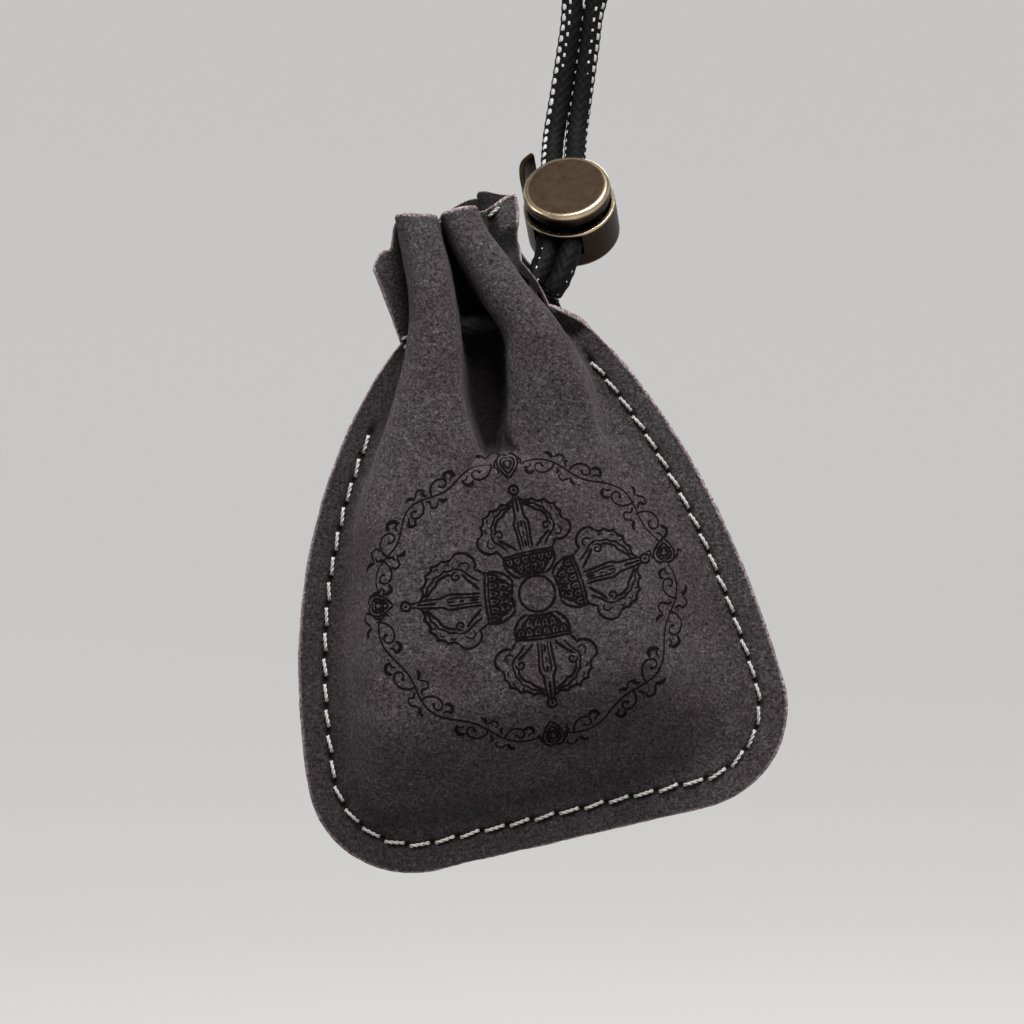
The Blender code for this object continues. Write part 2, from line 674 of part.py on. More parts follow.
def main():
    parts, cutters = start_empty()
    suede = material("suede", (0.085, 0.072, 0.078), 0.95)
    thread = material("thread", (0.62, 0.60, 0.57), 0.8)
    braid = material("cord_braid", (0.018, 0.018, 0.019), 0.7)
    brass = material("antique_brass", (0.33, 0.25, 0.15), 0.38, 1.0)
    steel = material("spring_steel", (0.55, 0.55, 0.56), 0.3, 1.0)

    pouch_frame = bpy.data.objects.new("pouch_frame", None)
    pouch_frame.location = POUCH_FOOT
    pouch_frame.rotation_euler = (0.0, -POUCH_LEAN, 0.0)
    parts.objects.link(pouch_frame)
    lock_frame = bpy.data.objects.new("lock_frame", None)
    lock_frame.matrix_world = lock_matrix()
    parts.objects.link(lock_frame)

    front = make_panel("front_panel", FRONT, suede, parts, pouch_frame)
    back = make_panel("back_panel", BACK, suede, parts, pouch_frame)
    cut_cord_holes(front, FRONT, cutters, pouch_frame)
    cut_cord_holes(back, BACK, cutters, pouch_frame)
    make_thread("seam_thread_front", 1.0, thread, parts, pouch_frame)
    make_thread("seam_thread_back", -1.0, thread, parts, pouch_frame)
    make_drawstring(braid, parts)
    make_lock_body(brass, parts, cutters, lock_frame)
    make_lock_button(brass, parts, cutters, lock_frame)
    make_lock_spring(steel, parts, lock_frame)


main()
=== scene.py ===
import math

import bmesh
import bpy
import numpy as np
from mathutils import Matrix, Vector
from mathutils.bvhtree import BVHTree
from mathutils.noise import noise


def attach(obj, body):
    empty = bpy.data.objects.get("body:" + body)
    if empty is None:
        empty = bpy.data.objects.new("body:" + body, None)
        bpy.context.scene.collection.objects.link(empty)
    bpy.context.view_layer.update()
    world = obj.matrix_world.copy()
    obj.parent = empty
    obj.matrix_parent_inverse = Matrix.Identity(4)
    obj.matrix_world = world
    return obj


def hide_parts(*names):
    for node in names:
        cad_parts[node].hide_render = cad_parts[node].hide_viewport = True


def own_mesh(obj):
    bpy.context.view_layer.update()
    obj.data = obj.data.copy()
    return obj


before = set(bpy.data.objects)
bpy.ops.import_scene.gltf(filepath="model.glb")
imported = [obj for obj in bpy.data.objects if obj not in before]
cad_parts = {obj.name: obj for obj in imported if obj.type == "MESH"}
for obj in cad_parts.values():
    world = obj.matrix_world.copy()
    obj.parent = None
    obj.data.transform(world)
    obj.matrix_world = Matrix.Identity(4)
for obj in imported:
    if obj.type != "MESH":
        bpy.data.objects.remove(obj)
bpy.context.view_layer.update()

MM = 0.001
FIT_GAP = 0.3 * MM

# Values of the form, most of them the part's own
POUCH_FOOT = Vector((-7.0, -12.0, -160.9)) * MM
POUCH_LEAN = math.radians(13.0)
LEATHER = 1.2 * MM
BODY_WIDTH = 75.4 * MM
NECK_WIDTH = 25.2 * MM
MOUTH_WIDTH = 24.0 * MM
NECK_HEIGHT = 80.0 * MM
PANEL_HEIGHT = 99.0 * MM
SHOULDER_POWER = 2.5
SHOULDER_EASE = 0.85
FOOT_SHIFT = 1.5 * MM
NECK_SHIFT = 4.6 * MM
MOUTH_SHIFT = 2.35 * MM
CORNER_LEFT = 16.5 * MM
CORNER_RIGHT = 16.0 * MM
FLAP_DROP = 4.2 * MM
FLAP_CORNER = 2.3 * MM
FLAP_ROUND = 0.10
RIGHT_TUCK = 2.6 * MM
RIGHT_TUCK_HEIGHT = 91.0 * MM
RIGHT_TUCK_REACH = 4.5 * MM
MOUTH_RISE = (0.1, 0.5)
MOUTH_FALL = (0.75, 1.0)
STITCH_INSET = 4.0 * MM
STITCH_TO_BELLY = 0.9 * MM
SEAM_INSET_LOSS = 0.9 * MM
SEAM_INSET_REACH = 6.0 * MM
NECK_INSET_LOSS = 3.1 * MM
NECK_INSET_REACH = 8.0 * MM
WIDEST_FLAT_SHARE = 0.3
CORD_GAP_HEIGHT = 83.4 * MM
CORD_GAP_REACH = 6.0 * MM
CORD_GAP_POWER = 6
CORD_GAP_TUCK = 2.1 * MM
CORD_GAP_OPENS = (0.70, 0.82)
CORD_GAP_TUCKS = (0.90, 1.0)
BELLY_RISE_LEFT = 8.0 * MM
BELLY_RISE_RIGHT = 17.0 * MM
BELLY_RISE_FOOT = 20.0 * MM
BELLY_RISE_POWER = 0.8
STEEPEST_EDGE = 3.0
# The flange's columns over all columns in the part.
CAD_FLANGE = 2 / 28
FRONT = {"side": 1.0, "belly": 9.5 * MM, "mouth_rise": -1.8 * MM, "flap_ends": (0.13, 0.215), "gap": 5.3 * MM}
BACK = {"side": -1.0, "belly": 5.5 * MM, "mouth_rise": 1.8 * MM, "flap_ends": (0.24, 0.72), "gap": 1.6 * MM}
# The back's folds: shares across at the neck and at the mouth, height in mm, and the heights in mm where
# each one starts and where it is whole.
BACK_FOLDS = (
    (0.05, 0.19, 3.4, 62.0, 80.0), (0.19, 0.29, 6.6, 46.0, 72.0), (0.36, 0.39, 3.4, 51.0, 67.0),
    (0.45, 0.42, 0.4, 54.5, 63.5), (0.54, 0.45, 3.4, 51.0, 67.0), (0.72, 0.70, 6.6, 46.0, 72.0),
    (0.86, 0.93, 3.4, 52.0, 78.0))
FOLD_SPANS = len(BACK_FOLDS) + 1
EASE_ROWS = 8
STITCH_SAMPLES = 120
STITCH_CORNER_SAMPLES = 24
ROUTE_SAMPLES = 30
STITCH_TOP_RIGHT = 72.6 * MM
CORD_DIAMETER = 3.4 * MM
CORD_STEP = 2.6 * MM
CORD_END_GAP = 0.55 * MM
LOCK_CENTRE = Vector((-5.15, -8.6, -63.3)) * MM
LOCK_OUT = Vector((-0.136, -0.80, 0.583)).normalized()
STRAND_LEAN = 0.06
LOCK_WIDTH = 14.5 * MM
LOCK_WALL = 0.7 * MM
LOCK_FLOOR = 0.6 * MM
LOCK_LAND = 0.35 * MM
LOCK_EDGE = 0.9 * MM
RIM_EDGE = 0.15 * MM
BUTTON_WIDTH = 13.6 * MM
BUTTON_HEAD = 2.2 * MM
BUTTON_EDGE = 0.7 * MM
BUTTON_TRAVEL = 1.2 * MM
BUTTON_SIDE_WALL = 0.75 * MM
BUTTON_BRIDGE = 0.5 * MM
SPRING_ROOM = 1.9 * MM
GUARD_WALL = 0.9 * MM
GUARD_TOP = 2.2 * MM
GUARD_DEPTH = 4.6 * MM
GUARD_STEP = 0.25 * MM
GUARD_BEVEL = 0.22 * MM
GUARD_SAMPLES = 80
GUARD_ROUTE = ((0.0, -4.2), (1.1, -1.8), (1.5, 1.4), (1.2, 3.2), (0.0, 4.6))
WINDOW_HALF = CORD_DIAMETER / 2 + FIT_GAP
STRAND_PITCH = CORD_DIAMETER + FIT_GAP
BORE_RADIUS = LOCK_WIDTH / 2 - LOCK_WALL
STEM_RADIUS = BORE_RADIUS - FIT_GAP
WINDOW_SIDE = STEM_RADIUS - BUTTON_SIDE_WALL
STRAND_LEFT = -WINDOW_SIDE + FIT_GAP + CORD_DIAMETER / 2
STRAND_RIGHT = STRAND_LEFT + STRAND_PITCH
RIM_HEIGHT = WINDOW_HALF + LOCK_LAND
BRIDGE_BOTTOM = -WINDOW_HALF - BUTTON_BRIDGE
FLOOR_TOP = BRIDGE_BOTTOM - SPRING_ROOM
LOCK_BOTTOM = FLOOR_TOP - LOCK_FLOOR
HEAD_BOTTOM = RIM_HEIGHT + BUTTON_TRAVEL + FIT_GAP
HEAD_TOP = HEAD_BOTTOM + BUTTON_HEAD
NECK_ROUTE = (
    (15.2, 84.6, 2.9), (13.3, 82.4, 2.8), (11.2, 80.8, 3.2), (8.4, 80.0, 3.8), (5.6, 80.0, 3.9),
    (2.8, 80.0, 3.8), (0.6, 80.0, 3.2), (-1.1, 80.0, 1.7), (-1.6, 80.0, 0.0), (-1.1, 80.0, -1.8),
    (0.5, 80.0, -3.4), (2.6, 80.0, -3.8), (5.2, 80.0, -3.9), (7.8, 80.0, -3.8),
    (10.6, 79.7, -3.1), (13.2, 79.6, -1.4), (15.4, 80.2, 0.3), (17.5, 82.4, 2.3))
LEFT_TAIL = ((-9.8, -13.9, -72.4),)
RIGHT_TAIL = ((-6.9, -14.4, -74.2),)
LOOP_ROUTE = (
    (-7.25, 2.2, -46.4), (-6.45, 2.5, -41.5), (-5.6, 2.2, -36.0), (-4.8, 1.6, -30.2),
    (-4.8, 1.1, -24.4), (-6.2, 0.7, -18.6), (-7.6, 0.3, -12.8), (-7.6, 0.1, -7.2),
    (-4.7, 0.0, -3.2), (0.0, 0.0, -1.7), (4.7, 0.0, -3.2), (7.6, 0.1, -7.2),
    (7.6, 0.3, -12.8), (4.8, 0.7, -18.0), (1.0, 1.1, -22.8), (-1.2, 1.6, -28.6),
    (-2.1, 2.2, -35.0), (-2.95, 2.5, -41.0), (-3.7, 2.2, -46.4))
STRAIGHT_ABOVE_LOCK = 15.8 * MM
STRAIGHT_BELOW_LOCK = 0.2 * MM

# The camera, set so that 1 pixel is 0.155 mm at the pouch
AIM = Vector((-0.0144, -0.012, -0.1104))
DISTANCE = 0.44
CAMERA_ELEVATION = math.radians(-3.0)
HALF_VIEW = 0.07936


def aimed(obj, way, distance):
    """Links a camera or lamp that looks back along a way at the pouch."""
    bpy.context.scene.collection.objects.link(obj)
    obj.location = AIM + way * distance
    obj.rotation_euler = (-way).to_track_quat("-Z", "Y").to_euler()


def make_camera():
    data = bpy.data.cameras.new("camera")
    data.sensor_width = 36.0
    data.lens = 18.0 / (HALF_VIEW / DISTANCE)
    camera = bpy.data.objects.new("camera", data)
    aimed(camera, Vector((0.0, -math.cos(CAMERA_ELEVATION), math.sin(CAMERA_ELEVATION))), DISTANCE)
    bpy.context.scene.camera = camera
    return camera


# Small helpers
def smooth_step(value, start, end):
    share = np.clip((value - start) / (end - start), 0.0, 1.0)
    return share * share * (3.0 - 2.0 * share)


def unit(rows):
    return rows / np.maximum(np.linalg.norm(rows, axis=-1, keepdims=True), 1e-12)


def across(way):
    """A plane direction turned by a right angle."""
    return np.array((-way[1], way[0]))


def moved(points, matrix):
    turn = np.array(matrix)
    return points @ turn[:3, :3].T + turn[:3, 3]


def mesh_object(name, verts, faces, look, matrix=None, smooth=True):
    mesh = bpy.data.meshes.new(name)
    mesh.from_pydata(np.asarray(verts).tolist(), [], faces)
    mesh.update()
    if smooth:
        mesh.shade_smooth()
    for one in look if isinstance(look, tuple) else (look,):
        mesh.materials.append(one)
    obj = bpy.data.objects.new(name, mesh)
    bpy.context.scene.collection.objects.link(obj)
    if matrix is not None:
        obj.matrix_world = matrix
    return obj


def face_outward(mesh):
    work = bmesh.new()
    work.from_mesh(mesh)
    bmesh.ops.recalc_face_normals(work, faces=work.faces)
    work.to_mesh(mesh)
    work.free()


def enrol(obj, body, node=None):
    """Says which body a piece rides on and which node it replaces."""
    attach(obj, body)
    if node is not None:
        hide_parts(node)
    return obj


def store(obj, name, values):
    layer = obj.data.attributes.new(name, "FLOAT", "POINT")
    layer.data.foreach_set("value", np.asarray(values, dtype=np.float32))


def fade(value, span):
    return 1.0 - smooth_step(value, *span)


def grid_faces(rows, columns, start=0, closed=False):
    """Quads of a grid of vertices, row by row, joined round when closed."""
    row = np.arange(rows - 1)[:, None] * columns
    column = np.arange(columns if closed else columns - 1)[None, :]
    beside = (column + 1) % columns
    faces = np.stack((row + column, row + beside, row + columns + beside, row + columns + column), axis=-1)
    return faces.reshape(-1, 4) + start


def wobble(points, size, seed):
    """Smooth noise from -1 to 1 at points, with lumps of about a size."""
    shift = Vector((seed * 17.3, seed * 5.1, seed * 9.7))
    return np.array([noise(Vector(point) / size + shift) for point in np.asarray(points).tolist()])


def capped(rings):
    """A closed tube through rings of points: vertices, and faces with its two flat ends."""
    rows, sides = rings.shape[:2]
    faces = grid_faces(rows, sides, closed=True).tolist()
    faces.append(list(range(sides))[::-1])
    faces.append(list(range((rows - 1) * sides, rows * sides)))
    return rings.reshape(-1, 3), faces


def fanned(rows, sides):
    """Faces of a closed tube whose ends are fans round two more vertices."""
    faces = grid_faces(rows, sides, closed=True).tolist()
    last = (rows - 1) * sides
    for index in range(sides):
        beside = (index + 1) % sides
        faces.append([beside, index, rows * sides])
        faces.append([last + index, last + beside, rows * sides + 1])
    return faces


def carried(along, start):
    """A side direction at each step of a line, carried along it without twist."""
    side = np.array(start, dtype=float)
    made = []
    for step in along:
        side = side - step * np.dot(side, step)
        side = side / np.linalg.norm(side)
        made.append(side)
    return np.array(made)


# A direction that no tube starts along.
ANY_SIDE = (0.31, 0.22, 0.92)


def tube(points, radius, sides):
    """A closed round tube along points."""
    along = unit(np.gradient(points, axis=0))
    side = carried(along, np.cross(along[0], ANY_SIDE))
    up = np.cross(along, side)
    turn = np.linspace(0.0, 2 * math.pi, sides, endpoint=False)[:, None]
    return capped(points[:, None] + radius * (side[:, None] * np.cos(turn) + up[:, None] * np.sin(turn)))


def run_length(line):
    """The distance along a line at each of its points."""
    return np.concatenate(((0.0,), np.cumsum(np.linalg.norm(np.diff(line, axis=0), axis=1))))


def joined(parts):
    """Several vertex and face lists as one."""
    verts, faces, start = [], [], 0
    for some, quads in parts:
        verts.append(some)
        faces.extend([[i + start for i in face] for face in quads])
        start += len(some)
    return np.concatenate(verts), faces


# Node helpers
class Nodes:
    """A material's node tree with short ways to add and join nodes."""

    def __init__(self, name):
        self.material = bpy.data.materials.new(name)
        self.material.use_nodes = True
        self.tree = self.material.node_tree
        self.shader = self.tree.nodes["Principled BSDF"]

    def add(self, kind, settings=None, **inputs):
        node = self.tree.nodes.new("ShaderNode" + kind)
        for key, value in (settings or {}).items():
            setattr(node, key, value)
        for key, value in inputs.items():
            self.put(node.inputs[int(key[1:]) if key[0] == "i" and key[1:].isdigit() else key], value)
        return node

    def put(self, socket, value):
        if isinstance(value, bpy.types.NodeSocket):
            self.tree.links.new(value, socket)
        else:
            socket.default_value = value

    def math(self, operation, a, b=0.0, clamp=False):
        return self.add("Math", {"operation": operation, "use_clamp": clamp}, i0=a, i1=b).outputs[0]

    def distance(self, a, b):
        return self.math("SQRT", self.math("ADD", self.math("MULTIPLY", a, a), self.math("MULTIPLY", b, b)))

    def noise(self, place, scale, detail=2.0, roughness=0.5, distortion=0.0):
        node = self.add("TexNoise", None, Vector=place, Scale=scale, Detail=detail, Roughness=roughness,
                        Distortion=distortion)
        return node.outputs["Fac"]

    def span(self, value, low, high, start=0.0, end=1.0, smooth=False):
        node = self.add("MapRange", {"interpolation_type": "SMOOTHSTEP" if smooth else "LINEAR"},
                        i0=value, i1=low, i2=high, i3=start, i4=end)
        return node.outputs[0]

    def mix(self, share, a, b, blend="MIX"):
        node = self.add("Mix", {"data_type": "RGBA", "blend_type": blend})
        self.put(node.inputs[0], share)
        self.put(node.inputs[6], a)
        self.put(node.inputs[7], b)
        return node.outputs[2]

    def scaled(self, colour, tone):
        return self.add("VectorMath", {"operation": "SCALE"}, i0=colour, Scale=tone).outputs[0]

    def bump(self, height, distance, strength=1.0, under=None):
        node = self.add("Bump", None, Height=height, Distance=distance, Strength=strength)
        if under is not None:
            self.tree.links.new(under, node.inputs["Normal"])
        return node.outputs[0]

    def place(self):
        return self.add("TexCoord").outputs["Object"]

    def attribute(self, name):
        return self.add("Attribute", {"attribute_name": name}).outputs["Fac"]

    def set(self, **values):
        for key, value in values.items():
            self.put(self.shader.inputs[key.replace("_", " ")], value)
        return self.material


# Looks
def suede_look():
    """Dark napped suede with creases; painted shade darkens it in needle holes, the stitch groove, the
    front's folds and flange and on the inside, and rim lightens a cut edge, partly as the raw edge's paler
    colour and partly as a painted highlight.
    """
    n = Nodes("suede")
    place = n.place()
    nap = n.noise(place, 2250.0, 3.0, 0.65, 0.6)
    clumps = n.noise(place, 700.0, 3.0, 0.6, 1.2)
    worms = n.math("ABSOLUTE", n.math("SUBTRACT", n.noise(place, 1650.0, 1.0, 0.5, 1.6), 0.5))
    creases = n.span(worms, 0.0, 0.045, 0.0, 1.0, smooth=True)
    combed = n.add("Mapping", None, Vector=place, Scale=(1.0, 1.0, 0.45)).outputs[0]
    hair = n.noise(combed, 4200.0, 2.0, 0.6)
    patches = n.noise(place, 90.0, 3.0, 0.55, 0.8)
    rim = n.attribute("rim")
    tone = n.span(nap, 0.30, 0.70, 0.12, 1.88)
    # The last two factors are painted: a shade that darkens the colour to as little as 0.08, and a highlight
    # on the cut edge, partly the raw edge's paler colour, that makes it up to five times as bright.
    for value, low, high, dark, light in (
            (creases, 0.0, 1.0, 0.34, 1.15), (clumps, 0.32, 0.68, 0.84, 1.16),
            (n.noise(place, 2700.0, 2.0, 0.5, 0.8), 0.58, 0.70, 1.0, 1.75), (patches, 0.30, 0.70, 0.90, 1.10),
            (n.noise(place, 28.0, 2.0, 0.5, 0.4), 0.35, 0.65, 0.93, 1.07),
            (n.attribute("painted_shade"), 0.0, 1.0, 1.0, 0.08), (rim, 0.0, 1.0, 1.0, 5.0)):
        tone = n.math("MULTIPLY", tone, n.span(value, low, high, dark, light))
    warm = n.mix(n.span(patches, 0.35, 0.65), (0.070, 0.057, 0.063, 1.0), (0.072, 0.064, 0.067, 1.0))
    warm = n.mix(rim, warm, (0.078, 0.060, 0.064, 1.0))
    shape = n.bump(n.noise(place, 420.0, 2.0, 0.5), 0.00014, 0.6)
    for height, distance, strength in (
            (clumps, 0.00028, 0.9), (creases, 0.00010, 0.9), (nap, 0.00020, 1.0), (hair, 0.00006, 0.8)):
        shape = n.bump(height, distance, strength, shape)
    return n.set(Base_Color=n.scaled(warm, tone), Roughness=0.96, Normal=shape, Specular_IOR_Level=0.12,
                 Sheen_Weight=0.14, Sheen_Roughness=0.5, Sheen_Tint=(0.86, 0.74, 0.80, 1.0))


def print_look():
    n = Nodes("suede_print")
    place = n.place()
    nap = n.noise(place, 1900.0, 3.0, 0.65, 0.6)
    colour = n.scaled((0.0085, 0.0068, 0.0074), n.span(nap, 0.30, 0.70, 0.5, 1.5))
    shape = n.bump(n.noise(place, 4200.0, 2.0, 0.6), 0.00005, 0.7, n.bump(nap, 0.00012, 0.9))
    return n.set(Base_Color=colour, Roughness=0.97, Normal=shape, Specular_IOR_Level=0.05)


def thread_look():
    n = Nodes("thread")
    place = n.place()
    fibre = n.noise(place, 5200.0, 2.0, 0.6)
    soil = n.noise(place, 260.0, 2.0, 0.5)
    tone = n.math("MULTIPLY", n.span(fibre, 0.3, 0.7, 0.80, 1.10), n.span(soil, 0.3, 0.7, 0.84, 1.05))
    return n.set(Base_Color=n.scaled((0.66, 0.64, 0.61), tone), Roughness=0.62,
                 Normal=n.bump(fibre, 0.00004, 0.8), Sheen_Weight=0.15, Sheen_Roughness=0.4)


def braid_look(name, colour, low, high, roughness, sheen):
    n = Nodes(name)
    fibre = n.noise(n.place(), 5200.0, 2.0, 0.6, 0.5)
    return n.set(Base_Color=n.scaled(colour, n.span(fibre, 0.3, 0.7, low, high)), Roughness=roughness,
                 Normal=n.bump(fibre, 0.00005, 0.8), Specular_IOR_Level=0.10, Sheen_Weight=sheen,
                 Sheen_Roughness=0.35)


def brass_look(name, edges, face_low, face_high, painted_lower_shade):
    """Antique brass; edges lists the radius, height and reach in mm of each worn ring.

    The last argument is painted shade: two heights in mm, and how dark the metal is painted at the lower one,
    as shade on its lower side.
    """
    n = Nodes(name)
    place = n.place()
    parts = n.add("SeparateXYZ", None, Vector=place)
    radius = n.distance(parts.outputs[0], parts.outputs[1])
    worn = None
    for ring_radius, ring_height, reach in edges:
        off_radius = n.math("SUBTRACT", radius, ring_radius * MM)
        off_height = n.math("SUBTRACT", parts.outputs[2], ring_height * MM)
        ring = n.span(n.distance(off_radius, off_height), 0.3 * reach * MM, reach * MM, 1.0, 0.0, smooth=True)
        worn = ring if worn is None else n.math("MAXIMUM", worn, ring)
    grain = n.noise(place, 2600.0, 3.0, 0.6)
    cloud = n.noise(place, 330.0, 4.0, 0.6, 0.6)
    worn = n.math("MULTIPLY", worn, n.span(cloud, 0.30, 0.55, 0.55, 1.0), clamp=True)
    face = n.mix(n.span(cloud, 0.35, 0.68), (*face_low, 1.0), (*face_high, 1.0))
    speck = n.span(n.noise(place, 1500.0, 4.0, 0.7), 0.60, 0.74)
    face = n.mix(n.math("MULTIPLY", speck, 0.5), face, (*(0.6 * np.array(face_low)), 1.0))
    # Painted shade: the metal darker towards its lower end.
    low, high, dark = painted_lower_shade
    tone = n.span(parts.outputs[2], low * MM, high * MM, dark, 1.0, smooth=True)
    colour = n.mix(worn, n.scaled(face, tone), (0.56, 0.44, 0.30, 1.0))
    rough = n.math("ADD", n.span(worn, 0.0, 1.0, 0.44, 0.24), n.span(grain, 0.3, 0.7, -0.05, 0.05))
    shape = n.bump(grain, 0.000012, 0.5, n.bump(cloud, 0.00003, 0.4))
    return n.set(Base_Color=colour, Metallic=1.0, Roughness=rough, Normal=shape)


def steel_look():
    n = Nodes("spring_steel")
    place = n.place()
    grain = n.noise(place, 3000.0, 2.0, 0.5)
    colour = n.mix(n.span(grain, 0.3, 0.7), (0.42, 0.41, 0.40, 1.0), (0.62, 0.61, 0.60, 1.0))
    return n.set(Base_Color=colour, Metallic=1.0, Roughness=n.span(grain, 0.3, 0.7, 0.25, 0.38),
                 Normal=n.bump(grain, 0.00001, 0.4))


# The pouch's form, as in the part
def climb(y):
    """How far heights have come from the foot to the neck, and from the neck to the mouth."""
    below = np.clip(y / NECK_HEIGHT, 0.0, 1.0)
    return below, np.clip((y - NECK_HEIGHT) / (PANEL_HEIGHT - NECK_HEIGHT), 0.0, 1.0)


def half_width(y):
    below, above = climb(y)
    body = (1.0 - below ** SHOULDER_POWER) ** SHOULDER_EASE
    neck = NECK_WIDTH + (MOUTH_WIDTH - NECK_WIDTH) * above
    return (neck + (BODY_WIDTH - NECK_WIDTH) * body) / 2


def middle(y):
    below, above = climb(y)
    return FOOT_SHIFT + NECK_SHIFT * below ** 3 - MOUTH_SHIFT * above


def corner_cut(y, radius):
    rise = radius - np.clip(y, 0.0, radius)
    return radius - np.sqrt(np.maximum(radius * radius - rise * rise, 0.0))


def edge_left(y):
    return middle(y) - half_width(y) + corner_cut(y, CORNER_LEFT)


def edge_right(y):
    tuck = RIGHT_TUCK * np.exp(-((y - RIGHT_TUCK_HEIGHT) / RIGHT_TUCK_REACH) ** 2)
    return middle(y) + half_width(y) - corner_cut(y, CORNER_RIGHT) - tuck


def stitch_inset(y):
    return STITCH_INSET - NECK_INSET_LOSS * np.exp(-((y - NECK_HEIGHT) / NECK_INSET_REACH) ** 2)


def cord_gap(y):
    return np.exp(-((y - CORD_GAP_HEIGHT) / CORD_GAP_REACH) ** CORD_GAP_POWER)


def belly_height(panel, x, y):
    inset = stitch_inset(y) + STITCH_TO_BELLY
    foot = STITCH_INSET + STITCH_TO_BELLY
    rise = smooth_step(y, foot, foot + BELLY_RISE_FOOT) ** BELLY_RISE_POWER
    for edge, side, reach, power in ((edge_left(y), 1.0, BELLY_RISE_LEFT, 1.0),
                                     (edge_right(y), -1.0, BELLY_RISE_RIGHT, BELLY_RISE_POWER)):
        slope = np.clip(np.gradient(edge, y), -STEEPEST_EDGE, STEEPEST_EDGE)
        away = side * (x - edge) / np.sqrt(1.0 + slope ** 2)
        rise = rise * smooth_step(away, inset, inset + reach) ** power
    return panel["belly"] * rise


def spline(values, share):
    spans = len(values) - 1
    place = np.clip(share * spans, 0.0, spans - 1e-9)
    first = place.astype(int)
    part = (place - first)[:, None]
    before = values[np.maximum(first - 1, 0)]
    here = values[first]
    after = values[first + 1]
    beyond = values[np.minimum(first + 2, spans)]
    bend = 2 * before - 5 * here + 4 * after - beyond
    twist = 3 * (here - after) + beyond - before
    return 0.5 * (2 * here + (after - before) * part + bend * part ** 2 + twist * part ** 3)


def eased(table, rows):
    """Values of a table of heights and places in mm, read at rows and smoothed."""
    heights, places = zip(*table)
    values = np.interp(rows / MM, heights, places) * MM
    padded = np.concatenate((np.full(EASE_ROWS, values[0]), values, np.full(EASE_ROWS, values[-1])))
    kernel = np.hanning(2 * EASE_ROWS + 3)[1:-1]
    return np.convolve(padded, kernel / kernel.sum(), "valid")


# Heights and sideways places in mm of the two front folds' sides and of the valley's walls.
FOLD_LEFT = (
    (40.0, -28.5), (44.1, -27.2), (48.3, -24.6), (55.3, -20.3), (62.1, -15.6), (67.7, -12.0), (71.9, -9.6),
    (73.9, -8.4), (77.5, -6.4), (81.3, -5.0), (84.9, -4.3), (89.9, -3.6), (94.3, -3.35), (99.0, -3.2))
VALLEY_LEFT = (
    (61.0, 2.4), (63.0, 1.5), (69.4, 1.2), (70.9, 1.5), (74.0, 2.0), (77.0, 2.6), (80.1, 3.0), (83.6, 3.2),
    (88.2, 3.6), (91.8, 3.6), (96.3, 3.3), (99.0, 3.3))
VALLEY_RIGHT = (
    (61.0, 4.0), (65.0, 6.2), (69.5, 7.3), (72.6, 7.9), (76.5, 8.9), (78.5, 8.6), (80.9, 7.6), (83.8, 6.6),
    (87.1, 5.8), (90.2, 4.9), (92.6, 4.2), (96.3, 3.65), (99.0, 3.6))
FOLD_RIGHT = (
    (60.0, 26.0), (66.7, 23.3), (70.3, 21.0), (74.9, 18.9), (79.8, 16.8), (83.8, 14.6), (89.0, 12.6),
    (93.3, 10.8), (97.7, 9.7), (99.0, 9.5))
FRONT_CREST = 9.0 * MM
FRONT_VALLEY = 0.3 * MM
TUBE_FULLNESS = 0.62
TUBE_TUCK = 0.55 * MM
TUCK_SHARP = 40
TUBE_SPREAD = 0.3 * MM
TUBE_SQUARE = 0.7
# The angles round a front fold's section, and the rows in mm where each line starts and is whole.
TUBE_ANGLES = (176.0, 150.0, 122.0, 95.0, 68.0, 40.0, 5.0)
LEFT_TUBE_ROWS = ((40, 64), (42, 66), (44, 68), (46, 71), (49, 69), (52, 65), (55, 63.5))
RIGHT_TUBE_ROWS = ((55, 65), (52, 67), (50, 70), (46, 71), (50, 73), (57, 76), (62, 79))
VALLEY_SHARES = (0.14, 0.5, 0.86)
VALLEY_FLOOR_ROWS = (56.5, 62.0)


def front_folds(rows):
    """The front's two folds as two round fingers with a deep valley between them."""
    left, valley_left, valley_right, right = front_walls(rows)
    lines = []
    for start, end, reach in ((left, valley_left, LEFT_TUBE_ROWS), (valley_right, right, RIGHT_TUBE_ROWS)):
        for angle, (first, last) in zip(np.radians(TUBE_ANGLES), reach):
            height = FRONT_CREST * math.sin(angle) ** TUBE_FULLNESS
            lean = abs(math.cos(angle))
            aside = ((end - start) / 2 + TUBE_SPREAD) * lean ** TUBE_SQUARE - TUBE_TUCK * lean ** TUCK_SHARP
            place = (start + end) / 2 + math.copysign(1.0, math.cos(angle)) * aside
            lines.append((place, height, first, last))
    floor = [(valley_left + (valley_right - valley_left) * share, FRONT_VALLEY, *VALLEY_FLOOR_ROWS)
             for share in VALLEY_SHARES]
    half = len(TUBE_ANGLES)
    return [*lines[:half], *floor, *lines[half:]]


def front_walls(rows):
    return [eased(table, rows) for table in (FOLD_LEFT, VALLEY_LEFT, VALLEY_RIGHT, FOLD_RIGHT)]


def back_folds(left, width, above):
    return [(left + (neck * (1 - above) + mouth * above) * width, height * MM, start, end)
            for neck, mouth, height, start, end in BACK_FOLDS]


